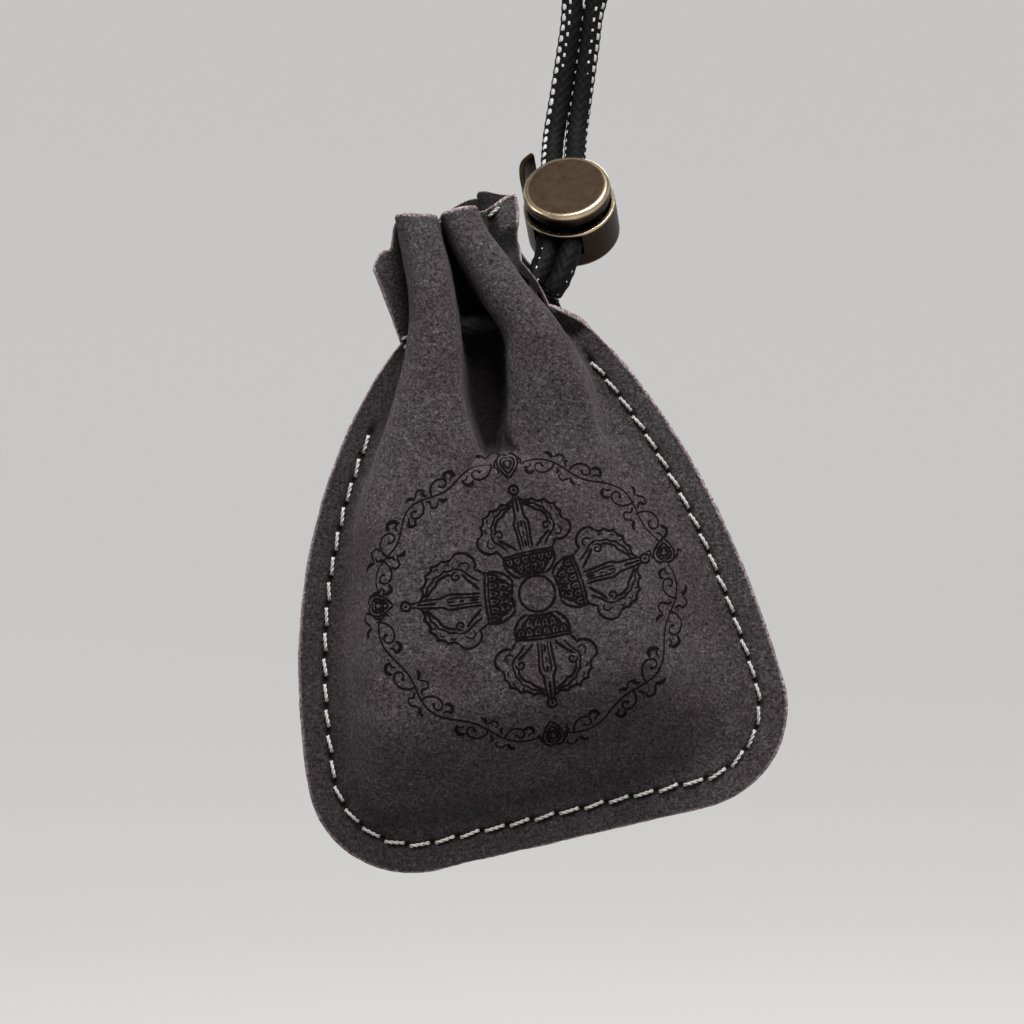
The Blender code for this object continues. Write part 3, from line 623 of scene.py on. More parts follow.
def panel_points(panel, rows):
    """The outer face of a panel as rows of points x, y, d in the pouch's frame."""
    side = panel["side"]
    inner = np.linspace(0.0, 1.0, FOLD_SPANS * PANEL_FOLD_COLUMNS + 1)
    flange = np.linspace(0.0, 1.0, PANEL_FLANGE_COLUMNS + 1)[:-1]
    left, right = edge_left(rows), edge_right(rows)
    width = right - left
    inset = np.minimum(stitch_inset(rows) + STITCH_TO_BELLY, WIDEST_FLAT_SHARE * width)
    above = climb(rows)[1]
    lines = front_folds(rows) if side > 0 else back_folds(left, width, above)
    push = np.zeros((2, len(lines) + 2, len(rows)))
    for line, (line_x, line_d, start, end) in enumerate(lines, 1):
        flat_x = left + inset + (width - 2 * inset) * line / (len(lines) + 1)
        weight = smooth_step(rows, start * MM, end * MM)
        push[:, line] = weight * (line_x - flat_x), weight * (line_d - belly_height(panel, flat_x, rows))
    columns = [(left + inset * share, 0.0 * rows) for share in flange]
    for share in inner:
        flat_x = left + inset + (width - 2 * inset) * share
        push_x, push_d = (spline(some, np.full(1, share))[0] for some in push)
        columns.append((flat_x + push_x, belly_height(panel, flat_x, rows) + push_d))
    columns.extend((right - inset * share, 0.0 * rows) for share in flange[::-1])
    x, d = (np.stack(some, axis=1) for some in zip(*columns))
    y = np.repeat(rows[:, None], x.shape[1], axis=1)
    over = (x - left[:, None]) / width[:, None]
    dip = fade(over, panel["flap_ends"])
    rise = smooth_step(over, *MOUTH_RISE) * fade(over, MOUTH_FALL)
    corner = np.clip(1.0 - over / FLAP_ROUND, 0.0, 1.0) ** 2
    y = y + (panel["mouth_rise"] * rise - FLAP_DROP * dip - FLAP_CORNER * corner) * above[:, None]
    # Each column's share of the part's own columns, which say where the cord's gap opens.
    share = np.concatenate((CAD_FLANGE * flange, CAD_FLANGE + (1 - 2 * CAD_FLANGE) * inner,
                            1 - CAD_FLANGE * flange[::-1]))
    gap = cord_gap(rows)[:, None]
    open_share = gap * smooth_step(share, *CORD_GAP_OPENS)
    if side > 0:
        x = x - CORD_GAP_TUCK * gap * smooth_step(share, *CORD_GAP_TUCKS)
    d = np.maximum(d, panel["gap"] * open_share)
    return np.stack((x, y, side * (d + LEATHER + FIT_GAP / 2)), axis=2)


def even_points(line, step):
    length = run_length(line)
    even = np.linspace(0.0, length[-1], int(round(length[-1] / step)) + 1)
    return np.stack([np.interp(even, length, line[:, axis]) for axis in range(line.shape[1])], axis=1)


def seam_inset(y):
    """The stitches' own distance from the edge; on the left they run into the fold's crevice."""
    return STITCH_INSET - SEAM_INSET_LOSS * np.exp(-((y - NECK_HEIGHT) / SEAM_INSET_REACH) ** 2)


def stitch_line():
    """The seam's stitch line, x and y in the pouch's frame, from the left top to the right top."""
    turn = np.linspace(0.0, math.pi / 2, STITCH_CORNER_SAMPLES)
    halves = []
    for edge, side, corner, top in ((edge_left, -1.0, CORNER_LEFT, STITCH_TOP_LEFT),
                                    (edge_right, 1.0, CORNER_RIGHT, STITCH_TOP_RIGHT)):
        y = corner + (top - corner) * np.linspace(0.0, 1.0, STITCH_SAMPLES)
        straight = np.stack((edge(y) - side * seam_inset(y), y), axis=1)
        centre = float(edge(np.array(corner))) - side * corner
        radius = corner - STITCH_INSET
        bend = np.stack((centre + side * radius * np.sin(turn), corner - radius * np.cos(turn)), axis=1)
        halves.append(np.concatenate((bend, straight[1:])))
    return np.concatenate((halves[0][::-1], halves[1]))


def pouch_matrix():
    return Matrix.Translation(POUCH_FOOT) @ Matrix.Rotation(-POUCH_LEAN, 4, "Y")


def lock_matrix():
    along = Vector((STRAND_LEAN, 0.0, 1.0))
    along.y = (-LOCK_OUT.x * along.x - LOCK_OUT.z * along.z) / LOCK_OUT.y
    along.normalize()
    turn = Matrix((along.cross(LOCK_OUT), along, LOCK_OUT)).transposed().to_4x4()
    return Matrix.Translation(LOCK_CENTRE) @ turn


def in_metres(route):
    """A route's points in mm as vectors in metres."""
    return [Vector(point) * MM for point in route]


def cord_routes(step):
    """The cord's centre line inside the neck, and the free part from its right tail to its left one."""
    neck = [pouch_matrix() @ Vector((x, -out, y)) for x, y, out in in_metres(NECK_ROUTE)]
    reach = LOCK_WIDTH / 2
    left, right = ([lock_matrix() @ Vector((strand, place, 0.0))
                    for place in (-reach - STRAIGHT_BELOW_LOCK, 0.0, reach, STRAIGHT_ABOVE_LOCK)]
                   for strand in (STRAND_LEFT, STRAND_RIGHT))
    free = [*in_metres(RIGHT_TAIL), *right, *reversed(in_metres(LOOP_ROUTE)), *reversed(left),
            *in_metres(LEFT_TAIL)]
    ring = [*neck, *free]
    ring = np.array([tuple(point) for point in [*ring[-2:], *ring, *ring[:3]]])
    spans = len(ring) - 1
    places = (2, 1 + len(neck), spans - 2)
    made = []
    for start, end, points in zip(places, places[1:], (len(neck), len(free))):
        part = spline(ring, np.linspace(start, end, ROUTE_SAMPLES * points) / spans)
        made.append(trim_ends(even_points(part, step), CORD_END_GAP))
    return made


def trim_ends(points, gap):
    for end, inner in ((0, 1), (-1, -2)):
        way = points[inner] - points[end]
        points[end] += way * gap / np.linalg.norm(way)
    return points


# The cord: a braided tube with pale tracer threads
BRAID_STEP = 0.2 * MM
BRAID_SIDES = 64
BRAID_CARRIERS = 8
BRAID_LEAD = 14.0 * MM
BRAID_BODY = CORD_DIAMETER / 2 - 0.09 * MM
BRAID_CROWN = 0.17 * MM
BRAID_WAVE = 0.09 * MM
PAD_PITCH = BRAID_LEAD / BRAID_CARRIERS
PAD_LENGTH = 1.02 * MM
PAD_WIDTH = 0.74 * MM
PAD_HEIGHT = 0.10 * MM
PAD_SUNK = 0.03 * MM
PAD_SEEN = 0.05
# How much of the braid's wave lifts a pad, and the least size that a pad is worked out for.
PAD_LIFT = 0.6
PAD_LEAST = 0.001
CROWN_SQUARE = 0.95
# Along the free cord, from its right tail: distances in metres with each tracer's angle or size there.
OUTER_ANGLE = ((0.0, 40.0), (0.009, 55.0), (0.024, 74.0), (0.036, 66.0), (0.046, 50.0), (0.149, 48.0),
               (0.172, 20.0))
OUTER_SIZE = ((0.0, 0.5), (0.006, 0.5), (0.0065, 0.0), (0.023, 0.0), (0.024, 0.75), (0.038, 0.95),
              (0.046, 1.25), (0.149, 1.25), (0.150, 0.0), (0.1655, 0.0), (0.166, 0.5), (0.172, 0.5))
INNER_SIZE = ((0.0, 0.0), (0.023, 0.0), (0.024, 0.85), (0.034, 0.7), (0.060, 0.7), (0.110, 0.4), (0.120, 0.0))
MIDDLE_SIZE = ((0.0, 0.0), (0.040, 0.0), (0.046, 0.65), (0.112, 0.85), (0.128, 0.75), (0.134, 0.0))


def along_cord(value, length):
    """A number, or one read off a table of lengths and numbers, as a column along a cord."""
    if isinstance(value, tuple):
        value = np.interp(length, *zip(*value))
    return np.broadcast_to(value, length.shape)[:, None]


def braid_tube(name, centre, tracers, reference, looks):
    """A braid's surface round a route; tracers are rows of pads with an angle, a phase and a size."""
    along = unit(np.gradient(centre, axis=0))
    if reference is None:
        front = carried(along, (0.0, 0.0, 1.0))
    else:
        reference = np.array(reference)
        front = unit(reference - along * (along @ reference)[:, None])
    side = np.cross(along, front)
    length = run_length(centre)
    turn = np.linspace(0.0, 2 * math.pi, BRAID_SIDES, endpoint=False)
    s = length[:, None]
    share = turn[None, :] / (2 * math.pi)
    u = BRAID_CARRIERS * (share + s / BRAID_LEAD)
    v = BRAID_CARRIERS * (share - s / BRAID_LEAD)
    first, second = np.floor(u), np.floor(v)
    crown_u, crown_v = (np.sqrt(np.maximum(1.0 - CROWN_SQUARE * (2 * part - 1.0) ** 2, 0.0))
                        for part in (u - first, v - second))
    over = BRAID_WAVE * np.cos(math.pi * (v - 0.5 + first)) + BRAID_CROWN * crown_u
    under = -BRAID_WAVE * np.cos(math.pi * (u - 0.5 + second)) + BRAID_CROWN * crown_v
    height = np.maximum(over, under)
    pad = np.zeros_like(height)
    for angle, phase, size in tracers:
        angle = np.radians(along_cord(angle, length))
        size = np.maximum(along_cord(size, length), PAD_LEAST)
        off = ((turn[None, :] - angle + math.pi) % (2 * math.pi) - math.pi) * CORD_DIAMETER / 2
        step = ((s / PAD_PITCH + phase) % 1.0 - 0.5) * PAD_PITCH
        away = (off / (PAD_WIDTH / 2 * size)) ** 2 + (step / (PAD_LENGTH / 2 * size)) ** 2
        pad = np.maximum(pad, np.sqrt(np.maximum(1.0 - away, 0.0)))
    pad_top = BRAID_CROWN + BRAID_WAVE * PAD_LIFT + PAD_HEIGHT * pad - PAD_SUNK
    height = np.where(pad > 0.0, np.maximum(height, pad_top), height)
    radius = BRAID_BODY + height - BRAID_CROWN * 0.5
    out = front[:, None] * np.cos(turn)[None, :, None] + side[:, None] * np.sin(turn)[None, :, None]
    verts = (centre[:, None] + out * radius[:, :, None]).reshape(-1, 3)
    faces = fanned(len(centre), BRAID_SIDES)
    obj = mesh_object(name, np.concatenate((verts, centre[:1], centre[-1:])), faces, looks)
    body = grid_faces(len(centre), BRAID_SIDES, closed=True)
    pale = np.zeros(len(faces), dtype=np.int32)
    pale[:len(body)] = (pad.reshape(-1)[body] > PAD_SEEN).sum(axis=1) >= 3
    obj.data.polygons.foreach_set("material_index", pale)
    return obj, length[-1]


def make_cords():
    looks = (braid_look("cord_braid", (0.0034, 0.0034, 0.0038), 0.4, 1.7, 0.62, 0.004),
             braid_look("cord_tracer", (0.70, 0.69, 0.67), 0.82, 1.06, 0.42, 0.1))
    threaded, hanging = cord_routes(BRAID_STEP)
    tracers = ((OUTER_ANGLE, 0.0, OUTER_SIZE), (-62.0, 0.5, INNER_SIZE), (12.0, 0.5, MIDDLE_SIZE))
    loop, length = braid_tube("cord_loop_braid", hanging, tracers, (0.0, -1.0, 0.0), looks)
    enrol(loop, "pouch", "drawstring_loop")
    route = cord_routes(CORD_STEP)[1]
    tuple(route[0])
    [tuple(point) for point in route]
    neck, _ = braid_tube("cord_neck_braid", threaded, ((180.0, 0.5, 0.45),), None, looks)
    enrol(neck, "pouch", "drawstring_neck")


# The suede panels
PANEL_STEP = 0.42 * MM
PANEL_CORNER_ROWS = 62
PANEL_FOLD_COLUMNS = 16
PANEL_FLANGE_COLUMNS = 14
RIM_BULGE = 0.26 * MM
RIM_RINGS = 4
RIM_FULLNESS = 0.6
PITCH_LEFT = 3.92 * MM
PITCH_RIGHT = 3.50 * MM
PITCH_CHANGE = (0.60, 0.75)
STITCH_UPRIGHT = 2.45 * MM
STITCH_LEVEL = 3.0 * MM
STITCH_SLANT = math.radians(7.0)
STITCH_START = 1.1 * MM
STITCH_TOP_LEFT = 68.6 * MM
WAY_STEP = 0.4 * MM
HOLE_DEEP = 0.55 * MM
HOLE_LONG = 0.60 * MM
HOLE_WIDE = 0.42 * MM
HOLE_SEEN = 3 * MM
SEAM_DENSE = 0.5 * MM
SEAM_BATCH = 60
PITCH_SAMPLES = 600
GROOVE_DEEP = 0.16 * MM
GROOVE_WIDE = 0.75 * MM
# Unevenness of the leather's faces and of its cut edge: size of the lumps in mm, seed and height in mm.
FACE_LUMPS = ((15.0, 1.0, 0.26), (5.5, 4.0, 0.10), (1.6, 8.0, 0.035))
EDGE_LUMPS = ((1.1, 21.0, 0.07), (6.0, 23.0, 0.12))
GROOVE_FLATTER = 0.85
GROOVE_SHADE = 0.25
# Where painted shade darkens the front: spans of height, of sideways place and of depth, and how dark.
VALLEY_MARGIN = 0.6 * MM
VALLEY_DARK = (5.5 * MM, 12.5 * MM)
VALLEY_ROWS = (57.5 * MM, 61.5 * MM)
VALLEY_PAINTED_SHADE = 0.97
CREVICE_REACH = 3.2 * MM
CREVICE_NARROWER = 1.5 * MM
CREVICE_NARROWS = (77.0 * MM, 85.0 * MM)
CREVICE_DARK = (4.0 * MM, 7.5 * MM)
CREVICE_ROWS = (60.0 * MM, 70.0 * MM)
CREVICE_PAINTED_SHADE = 0.8
FLANK_SIDE = (-0.6 * MM, 0.2 * MM)
FLANK_DARK = (7.5 * MM, 10.5 * MM)
FLANK_ROWS = (75.0 * MM, 82.0 * MM)
FLANK_PAINTED_SHADE = 0.9
# A corner by the mouth that the flank's painted shade leaves out.
UNSHADED_CORNER_SIDE = (11.8 * MM, 12.5 * MM)
UNSHADED_CORNER_ROWS = (93.8 * MM, 94.8 * MM)
# The flange takes painted shade, darker on the left, fading out towards the neck.
FLANGE_DARK = (1.6 * MM, 4.5 * MM)
FLANGE_SIDE = (5.0 * MM, 32.0 * MM)
FLANGE_ROWS = (74.0 * MM, 80.0 * MM)
FLANGE_PAINTED_SHADE = 0.48
FLANGE_PAINTED_SHADE_LOSS = 0.38
# Painted shade on the panels' inner faces, inside the pouch.
INNER_SHADE = 0.75
# How much of the cut edge's lighter colour and painted highlight the face's border takes.
BORDER_RIM = 0.9


def panel_rows():
    radius = max(CORNER_LEFT, CORNER_RIGHT)
    turn = np.linspace(0.0, math.pi / 2, PANEL_CORNER_ROWS + 1)
    corner = radius * (1.0 - np.cos(turn))
    plain = np.linspace(radius, PANEL_HEIGHT, int(round((PANEL_HEIGHT - radius) / PANEL_STEP)) + 1)
    return np.concatenate((corner, plain[1:]))


def stitch_places(line):
    """Middles and directions of the stitches on a line, and of the holes between them."""
    length = run_length(line)
    run = np.linspace(STITCH_START, length[-1], PITCH_SAMPLES)
    pitch = PITCH_LEFT + (PITCH_RIGHT - PITCH_LEFT) * smooth_step(run / length[-1], *PITCH_CHANGE)
    turns = np.concatenate(((0.0,), np.cumsum(np.diff(run) / pitch[1:])))
    count = int(turns[-1])
    made = []
    for counts in (np.arange(count) + 0.5, np.arange(count + 1)):
        middles = np.interp(counts, turns, run)
        at, ahead, behind = (
            np.stack([np.interp(middles + past, length, line[:, axis]) for axis in (0, 1)], axis=1)
            for past in (0.0, WAY_STEP, -WAY_STEP))
        made.extend((at, unit(ahead - behind)))
    return made


def seam_marks(points, line, holes, ways):
    """The shares, at each point of a panel, of the stitch groove's and of the needle holes' depth."""
    flat = points[:, :, :2].reshape(-1, 2)
    away = np.full(len(flat), 1.0)
    dense = even_points(line, SEAM_DENSE)
    for start in range(0, len(dense), SEAM_BATCH):
        some = dense[start:start + SEAM_BATCH]
        away = np.minimum(away, np.sqrt(((flat[:, None] - some[None]) ** 2).sum(axis=2)).min(axis=1))
    groove = np.exp(-(away / GROOVE_WIDE) ** 2)
    hole = np.zeros(len(flat))
    for place, way in zip(holes, ways):
        off = flat - place
        near = np.abs(off).max(axis=1) < HOLE_SEEN
        lengthwise, crosswise = off[near] @ way, off[near] @ across(way)
        value = np.exp(-(lengthwise / HOLE_LONG) ** 2 - (crosswise / HOLE_WIDE) ** 2)
        hole[near] = np.maximum(hole[near], value)
    return groove.reshape(points.shape[:2]), hole.reshape(points.shape[:2])


def deep_shade(points, rows):
    """Painted shade that darkens the valley, the crevices beside the front's folds, the flank beside the
    right fold and the flange.
    """
    x, height, out = points[:, :, 0], rows[:, None], points[:, :, 2]
    fold_left, valley_left, valley_right, fold_right = (wall[:, None] for wall in front_walls(rows))
    valley = (x > valley_left - VALLEY_MARGIN) & (x < valley_right + VALLEY_MARGIN)
    valley = valley * fade(out, VALLEY_DARK) * smooth_step(height, *VALLEY_ROWS)
    reach = CREVICE_REACH - CREVICE_NARROWER * smooth_step(height, *CREVICE_NARROWS)
    left = np.exp(-(np.maximum(fold_left - x, 0.0) / reach) ** 2) * (x < fold_left + reach)
    left = left * fade(out, CREVICE_DARK) * smooth_step(height, *CREVICE_ROWS)
    flank = smooth_step(x - fold_right, *FLANK_SIDE) * smooth_step(height, *FLANK_ROWS)
    flank = flank * fade(out, FLANK_DARK)
    flank = flank * (1.0 - smooth_step(x, *UNSHADED_CORNER_SIDE) * smooth_step(height, *UNSHADED_CORNER_ROWS))
    flange = fade(out, FLANGE_DARK) * (FLANGE_PAINTED_SHADE - FLANGE_PAINTED_SHADE_LOSS * smooth_step(x, *FLANGE_SIDE))
    flange = flange * fade(height, FLANGE_ROWS)
    return np.maximum(flange, VALLEY_PAINTED_SHADE * valley + CREVICE_PAINTED_SHADE * left + FLANK_PAINTED_SHADE * flank)


def lumps(points, table, shift=0.0):
    return sum(wobble(points, size * MM, seed + shift) * height * MM for size, seed, height in table)


def rim_rings(outer, inner, normal, side):
    """Rings of points that round a panel's cut edge, between its outer and its inner border."""
    ahead = unit(np.roll(outer, -1, axis=0) - np.roll(outer, 1, axis=0))
    edge_out = unit(np.cross(ahead, normal)) * side
    rough = lumps(outer, EDGE_LUMPS)
    half = np.linalg.norm(outer - inner, axis=1)[:, None] / 2
    made = []
    for step in range(1, RIM_RINGS):
        angle = math.pi * step / RIM_RINGS
        bulge = (RIM_BULGE + rough)[:, None] * math.sin(angle) ** RIM_FULLNESS
        made.append((outer + inner) / 2 + normal * half * math.cos(angle) + edge_out * bulge)
    return made


def make_panel(name, panel, node, look, seam):
    """One suede panel as a closed sheet with rounded cut edges."""
    rows = panel_rows()
    points = panel_points(panel, rows)
    side = panel["side"]
    place = np.stack((points[:, :, 0], -points[:, :, 2], points[:, :, 1]), axis=2)
    normal = unit(np.cross(np.gradient(place, axis=1), np.gradient(place, axis=0))) * side
    groove, hole = seam_marks(points, *seam)
    lump = lumps(place.reshape(-1, 3), FACE_LUMPS, side).reshape(groove.shape)
    lump = lump * (1.0 - GROOVE_FLATTER * groove)
    outer = place + normal * (lump - GROOVE_DEEP * groove - HOLE_DEEP * hole)[:, :, None]
    inner = (place - normal * LEATHER).reshape(-1, 3)
    total = len(inner)
    index = np.arange(total).reshape(groove.shape)
    border = np.concatenate((index[0, :-1], index[:-1, -1], index[-1, :0:-1], index[:0:-1, 0]))
    loops = rim_rings(outer.reshape(-1, 3)[border], inner[border], normal.reshape(-1, 3)[border], side)
    verts = np.concatenate((outer.reshape(-1, 3), inner, *loops))
    faces = grid_faces(*groove.shape)
    starts = 2 * total + len(border) * np.arange(RIM_RINGS - 1)
    ring_ids = [border, *(start + np.arange(len(border)) for start in starts), border + total]
    rims = [np.stack((low, high, np.roll(high, -1), np.roll(low, -1)), axis=1)
            for low, high in zip(ring_ids[:-1], ring_ids[1:])]
    faces = np.concatenate((faces, faces[:, ::-1] + total, *rims))
    faces = faces if side > 0 else faces[:, ::-1]
    obj = mesh_object(name, moved(verts, pouch_matrix()), faces.tolist(), look)
    # Painted shade: darker in the needle holes and the stitch groove, in the front's folds and flange, and on
    # the inner faces.
    shade = hole + GROOVE_SHADE * groove
    if side > 0:
        shade = shade + deep_shade(points, rows)
    painted_shade = np.concatenate((shade.reshape(-1), np.full(total, INNER_SHADE), np.zeros(len(verts) - 2 * total)))
    # The cut edge's rim is lighter, partly as the raw edge's paler colour and partly as a painted highlight.
    rim = np.zeros(len(verts))
    rim[2 * total:] = 1.0
    rim[border] = BORDER_RIM
    store(obj, "painted_shade", np.clip(painted_shade, 0.0, 1.0))
    store(obj, "rim", rim)
    enrol(obj, "pouch", node)
    return outer


# The seam's stitches
PLY_SHIFT = 0.14 * MM
PLY_RADIUS = 0.145 * MM
PLY_TURN = 1.7 * MM
STITCH_ARCH = 0.30 * MM
STITCH_SINK = 0.62 * MM
STITCH_SWAY = 0.05
STITCH_POINTS = 19
PLY_SIDES = 8
STITCH_OUT = LEATHER + FIT_GAP / 2 - 0.05 * MM
# Place in mm, direction, height out of the pouch's middle plane and length of each single stitch.
SINGLE_FRONT = (((-5.6, 80.9), (1.0, 0.12), 1.35, 1.7), ((-5.6, 79.6), (1.0, 0.2), 1.35, 1.7),
                ((16.9, 79.6), (-0.35, 1.0), 1.6, 2.2), ((11.9, 96.9), (0.9, 0.5), 1.45, 2.2))


def stitch(place, way, depth, side, slant, length):
    """One stitch of two twisted plies, arched out of the leather."""
    way = way * math.cos(slant) + across(way) * math.sin(slant)
    share = np.linspace(-0.5, 0.5, STITCH_POINTS)
    rise = STITCH_ARCH - STITCH_SINK * np.abs(2 * share) ** 4
    line = np.stack((place[0] + way[0] * share * length, -side * (depth + rise),
                     place[1] + way[1] * share * length), axis=1)
    over = np.array((0.0, -side, 0.0))
    beside = np.array((way[1], 0.0, -way[0]))
    for ply in (0.0, math.pi):
        spin = (ply + 2 * math.pi * share * length / PLY_TURN)[:, None]
        yield tube(line + PLY_SHIFT * (np.cos(spin) * over + np.sin(spin) * beside), PLY_RADIUS, PLY_SIDES)


def make_stitches(name, side, node, look, centres, ways, single=()):
    parts = []
    for index, (place, way) in enumerate(zip(centres, ways)):
        tilt = STITCH_SLANT * side + STITCH_SWAY * math.sin(index * 2.3)
        length = STITCH_UPRIGHT + (STITCH_LEVEL - STITCH_UPRIGHT) * abs(way[0])
        parts.extend(stitch(place, way, STITCH_OUT, side, tilt, length))
    for place, way, out, length in single:
        parts.extend(stitch(np.array(place) * MM, unit(np.array(way)), out * MM, side, 0.0, length * MM))
    verts, faces = joined(parts)
    enrol(mesh_object(name, moved(verts, pouch_matrix()), faces, look), "pouch", node)


# The printed medallion: a crossed double vajra in a vine ring, drawn in picture pixels
PIXEL = 0.155 * MM
PICTURE_X = 605.0
PICTURE_Y = -200.0
BOSS = np.array((537.2, 593.7))
BOSS_RADIUS = 18.0
# Each arm: its tip, the length that the arm's shares are of, and its breadth's scale.
ARMS = (((513.3, 489.2), 107.0, 1.0), ((645.8, 558.3), 117.0, 0.92), ((552.5, 703.3), 113.0, 1.02),
        ((405.0, 607.0), 130.0, 0.83))
KNOB_START = 0.93
KNOB_RADIUS = 4.6
RING_CENTRE = np.array((526.0, 600.0))
RING_HALF = np.array((147.0, 137.0))
BUD_ANGLES = (-97.3, -20.3, 79.3, 177.5)
# The way each bud's foot points, where that is not straight out of the ring.
BUD_FEET = (None, (0.05, 1.0), None, None)
LINE_WIDE = 2.1
# Unevenness of a line's breadth: size of the lumps in mm, seed and share of the breadth.
LINE_LUMPS = ((0.55, 31.0, 0.30), (3.0, 37.0, 0.16))
PRINT_STEP = 1.5
CURVE_POINTS = 14
LOBE_POINTS = 6
LOBE_FULLNESS = 0.7
PRINT_LIFT = 0.035 * MM
PRINT_DEEP = 0.16 * MM
# A strip's breadth at its ends, and how much it gains with each step from them.
TAPER_START = 0.45
TAPER_STEP = 0.35
# Half an arm's lobes, spiral and strokes, in thousandths of its length out along it and across it. The
# spiral's values are those that curl takes, and a stroke starts with its width.
OUTER_CUSPS = ((912, 35), (885, 150), (850, 262), (795, 345), (715, 385), (632, 398))
INNER_CUSPS = ((878, 60), (835, 160), (780, 236), (700, 286), (622, 300))
OUTER_BULGE = 0.20
INNER_BULGE = 0.10
ARM_SPIRAL = ((606, 226), 44, 100.0, -1.15, 0.25)
HALF_ARM = (
    (1.25, (632, 398), (590, 440), (525, 436), (468, 385), (452, 320), (470, 285)),
    (1.1, (470, 285), (430, 262), (402, 238)),
    (1.0, (622, 300), (560, 284), (515, 236), (470, 196), (432, 172)),
    (1.25, (858, 48), (806, 125), (772, 158), (752, 205), (690, 246), (640, 250)),
    (1.35, (560, 246), (522, 190), (476, 138), (436, 92)),
    (0.8, (585, 330), (530, 352), (500, 318), (520, 282)),
    (0.8, (690, 330), (668, 352), (646, 334)),
    (0.8, (780, 290), (756, 312), (735, 300)),
    (0.8, (842, 210), (822, 236), (800, 226)),
    (1.15, (430, 54), (520, 58), (610, 66), (680, 70), (735, 44), (800, 40), (860, 36), (930, 26)),
    (0.8, (436, 26), (540, 28), (640, 36), (700, 20)),
    (1.2, (400, 0), (396, 120), (388, 205), (402, 240)),
    (1.1, (372, 0), (368, 110), (362, 200), (372, 236), (402, 240)),
    (1.3, (372, 236), (318, 240), (262, 220), (205, 176), (172, 122)),
    (1.5, (300, 160), (262, 158), (228, 130)),
    (1.5, (196, 0), (190, 60), (182, 118)),
)
# The scales of an arm's foot: their places across it, then a scale's outline and its middle line.
SCALES = (
    ((40, 115, 186), ((364, -36), (318, -34), (290, -4), (318, 28), (360, 34)), ((352, 0), (316, -3))),
    ((36, 106), ((290, -34), (240, -32), (208, -6), (236, 24), (288, 34)), ((272, -4), (236, -8))),
)
SCALE_WIDTHS = (1.35, 1.4)
STEM_DASHES = ((700, 640), (600, 560), (520, 450), (780, 930))
# In pixels: how far the stem's lines are off the middle at foot and top, how far stem and knob stop short
# of the arm's tip, and half the length of the knob's dash.
STEM_FOOT = 2.4
STEM_TOP = 1.6
STEM_SHORT = 4.0
KNOB_SHORT = 1.0
KNOB_DASH = 1.6


def smooth_line(points):
    if len(points) > 2:
        points = spline(points, np.linspace(0.0, 1.0, CURVE_POINTS * len(points)))
    return even_points(points, PRINT_STEP)


def scallops(cusps, bulge):
    """A line of lobes between cusps, each bulging outward by a share of its length."""
    cusps = np.array(cusps, dtype=float)
    made = []
    for start, end in zip(cusps[:-1], cusps[1:]):
        way = end - start
        for share in np.linspace(0.0, 1.0, LOBE_POINTS + 1)[:-1]:
            out = bulge * (1.0 - (2 * share - 1.0) ** 2) ** LOBE_FULLNESS
            made.append(start + way * share + across(way) * out)
    return np.array([*made, cusps[-1]])


def curl(centre, radius, start=0.0, turns=1.0, shrink=1.0):
    """A circle, or a spiral from its rim inward."""
    turn = np.radians(start) + np.linspace(0.0, 2 * math.pi * turns, int(CURVE_POINTS * abs(turns)) + 4)
    size = radius * (1.0 - (1.0 - shrink) * np.linspace(0.0, 1.0, len(turn)))
    return np.stack((centre[0] + size * np.cos(turn), centre[1] + size * np.sin(turn)), axis=1)


def arm_strokes():
    """One arm's strokes: width, points in thousandths out along it and across it, and smooth or not."""
    half = [(1.25, scallops(OUTER_CUSPS, OUTER_BULGE), False),
            (1.0, scallops(INNER_CUSPS, INNER_BULGE), False), (1.0, curl(*ARM_SPIRAL), True)]
    half.extend((wide, np.array(points), True) for wide, *points in HALF_ARM)
    for places, *lines in SCALES:
        half.extend((wide, np.array(line) + (0, place), True) for place in places
                    for wide, line in zip(SCALE_WIDTHS, lines))
    strokes = [(1.3, np.array(((start, 0), (end, 0))), True) for start, end in STEM_DASHES]
    for wide, points, smooth in half:
        strokes.extend(((wide, points, smooth), (wide, points * (1, -1), smooth)))
    return strokes


def placed_arm(tip, length, breadth):
    """An arm's strokes in pixels, and the stem and knob that end it at its tip."""
    way = np.array(tip) - BOSS
    reach = float(np.linalg.norm(way))
    way = way / reach
    made = []
    for wide, points, smooth in arm_strokes():
        place = points[:, :1] * way + points[:, 1:] * breadth * across(way)
        made.append((wide, BOSS + place * length / 1000, smooth))
    knob = BOSS + way * (reach - KNOB_SHORT)
    for side in (across(way), -across(way)):
        stem = (BOSS + way * length * KNOB_START + side * STEM_FOOT,
                BOSS + way * (reach - STEM_SHORT) + side * STEM_TOP)
        made.append((1.0, np.array(stem), False))
    made.append((1.2, curl(knob, KNOB_RADIUS), True))
    made.append((1.7, np.array((knob - way * KNOB_DASH, knob + way * KNOB_DASH)), False))
    return made


def ring_place(angle, out):
    """A point of the vine's ring, with an offset outward in pixels."""
    turn = np.radians(angle)
    way = np.stack((np.cos(turn), np.sin(turn)), axis=-1)
    return RING_CENTRE + RING_HALF * way + way * np.asarray(out)[..., None]


# The vine's stem: degrees kept free beside a bud, the longest arc with four waves, swing in pixels, width.
BUD_ROOM = 4.6
SHORT_VINE = 74.0
VINE_SWING = 5.2
VINE_WIDE = 0.85
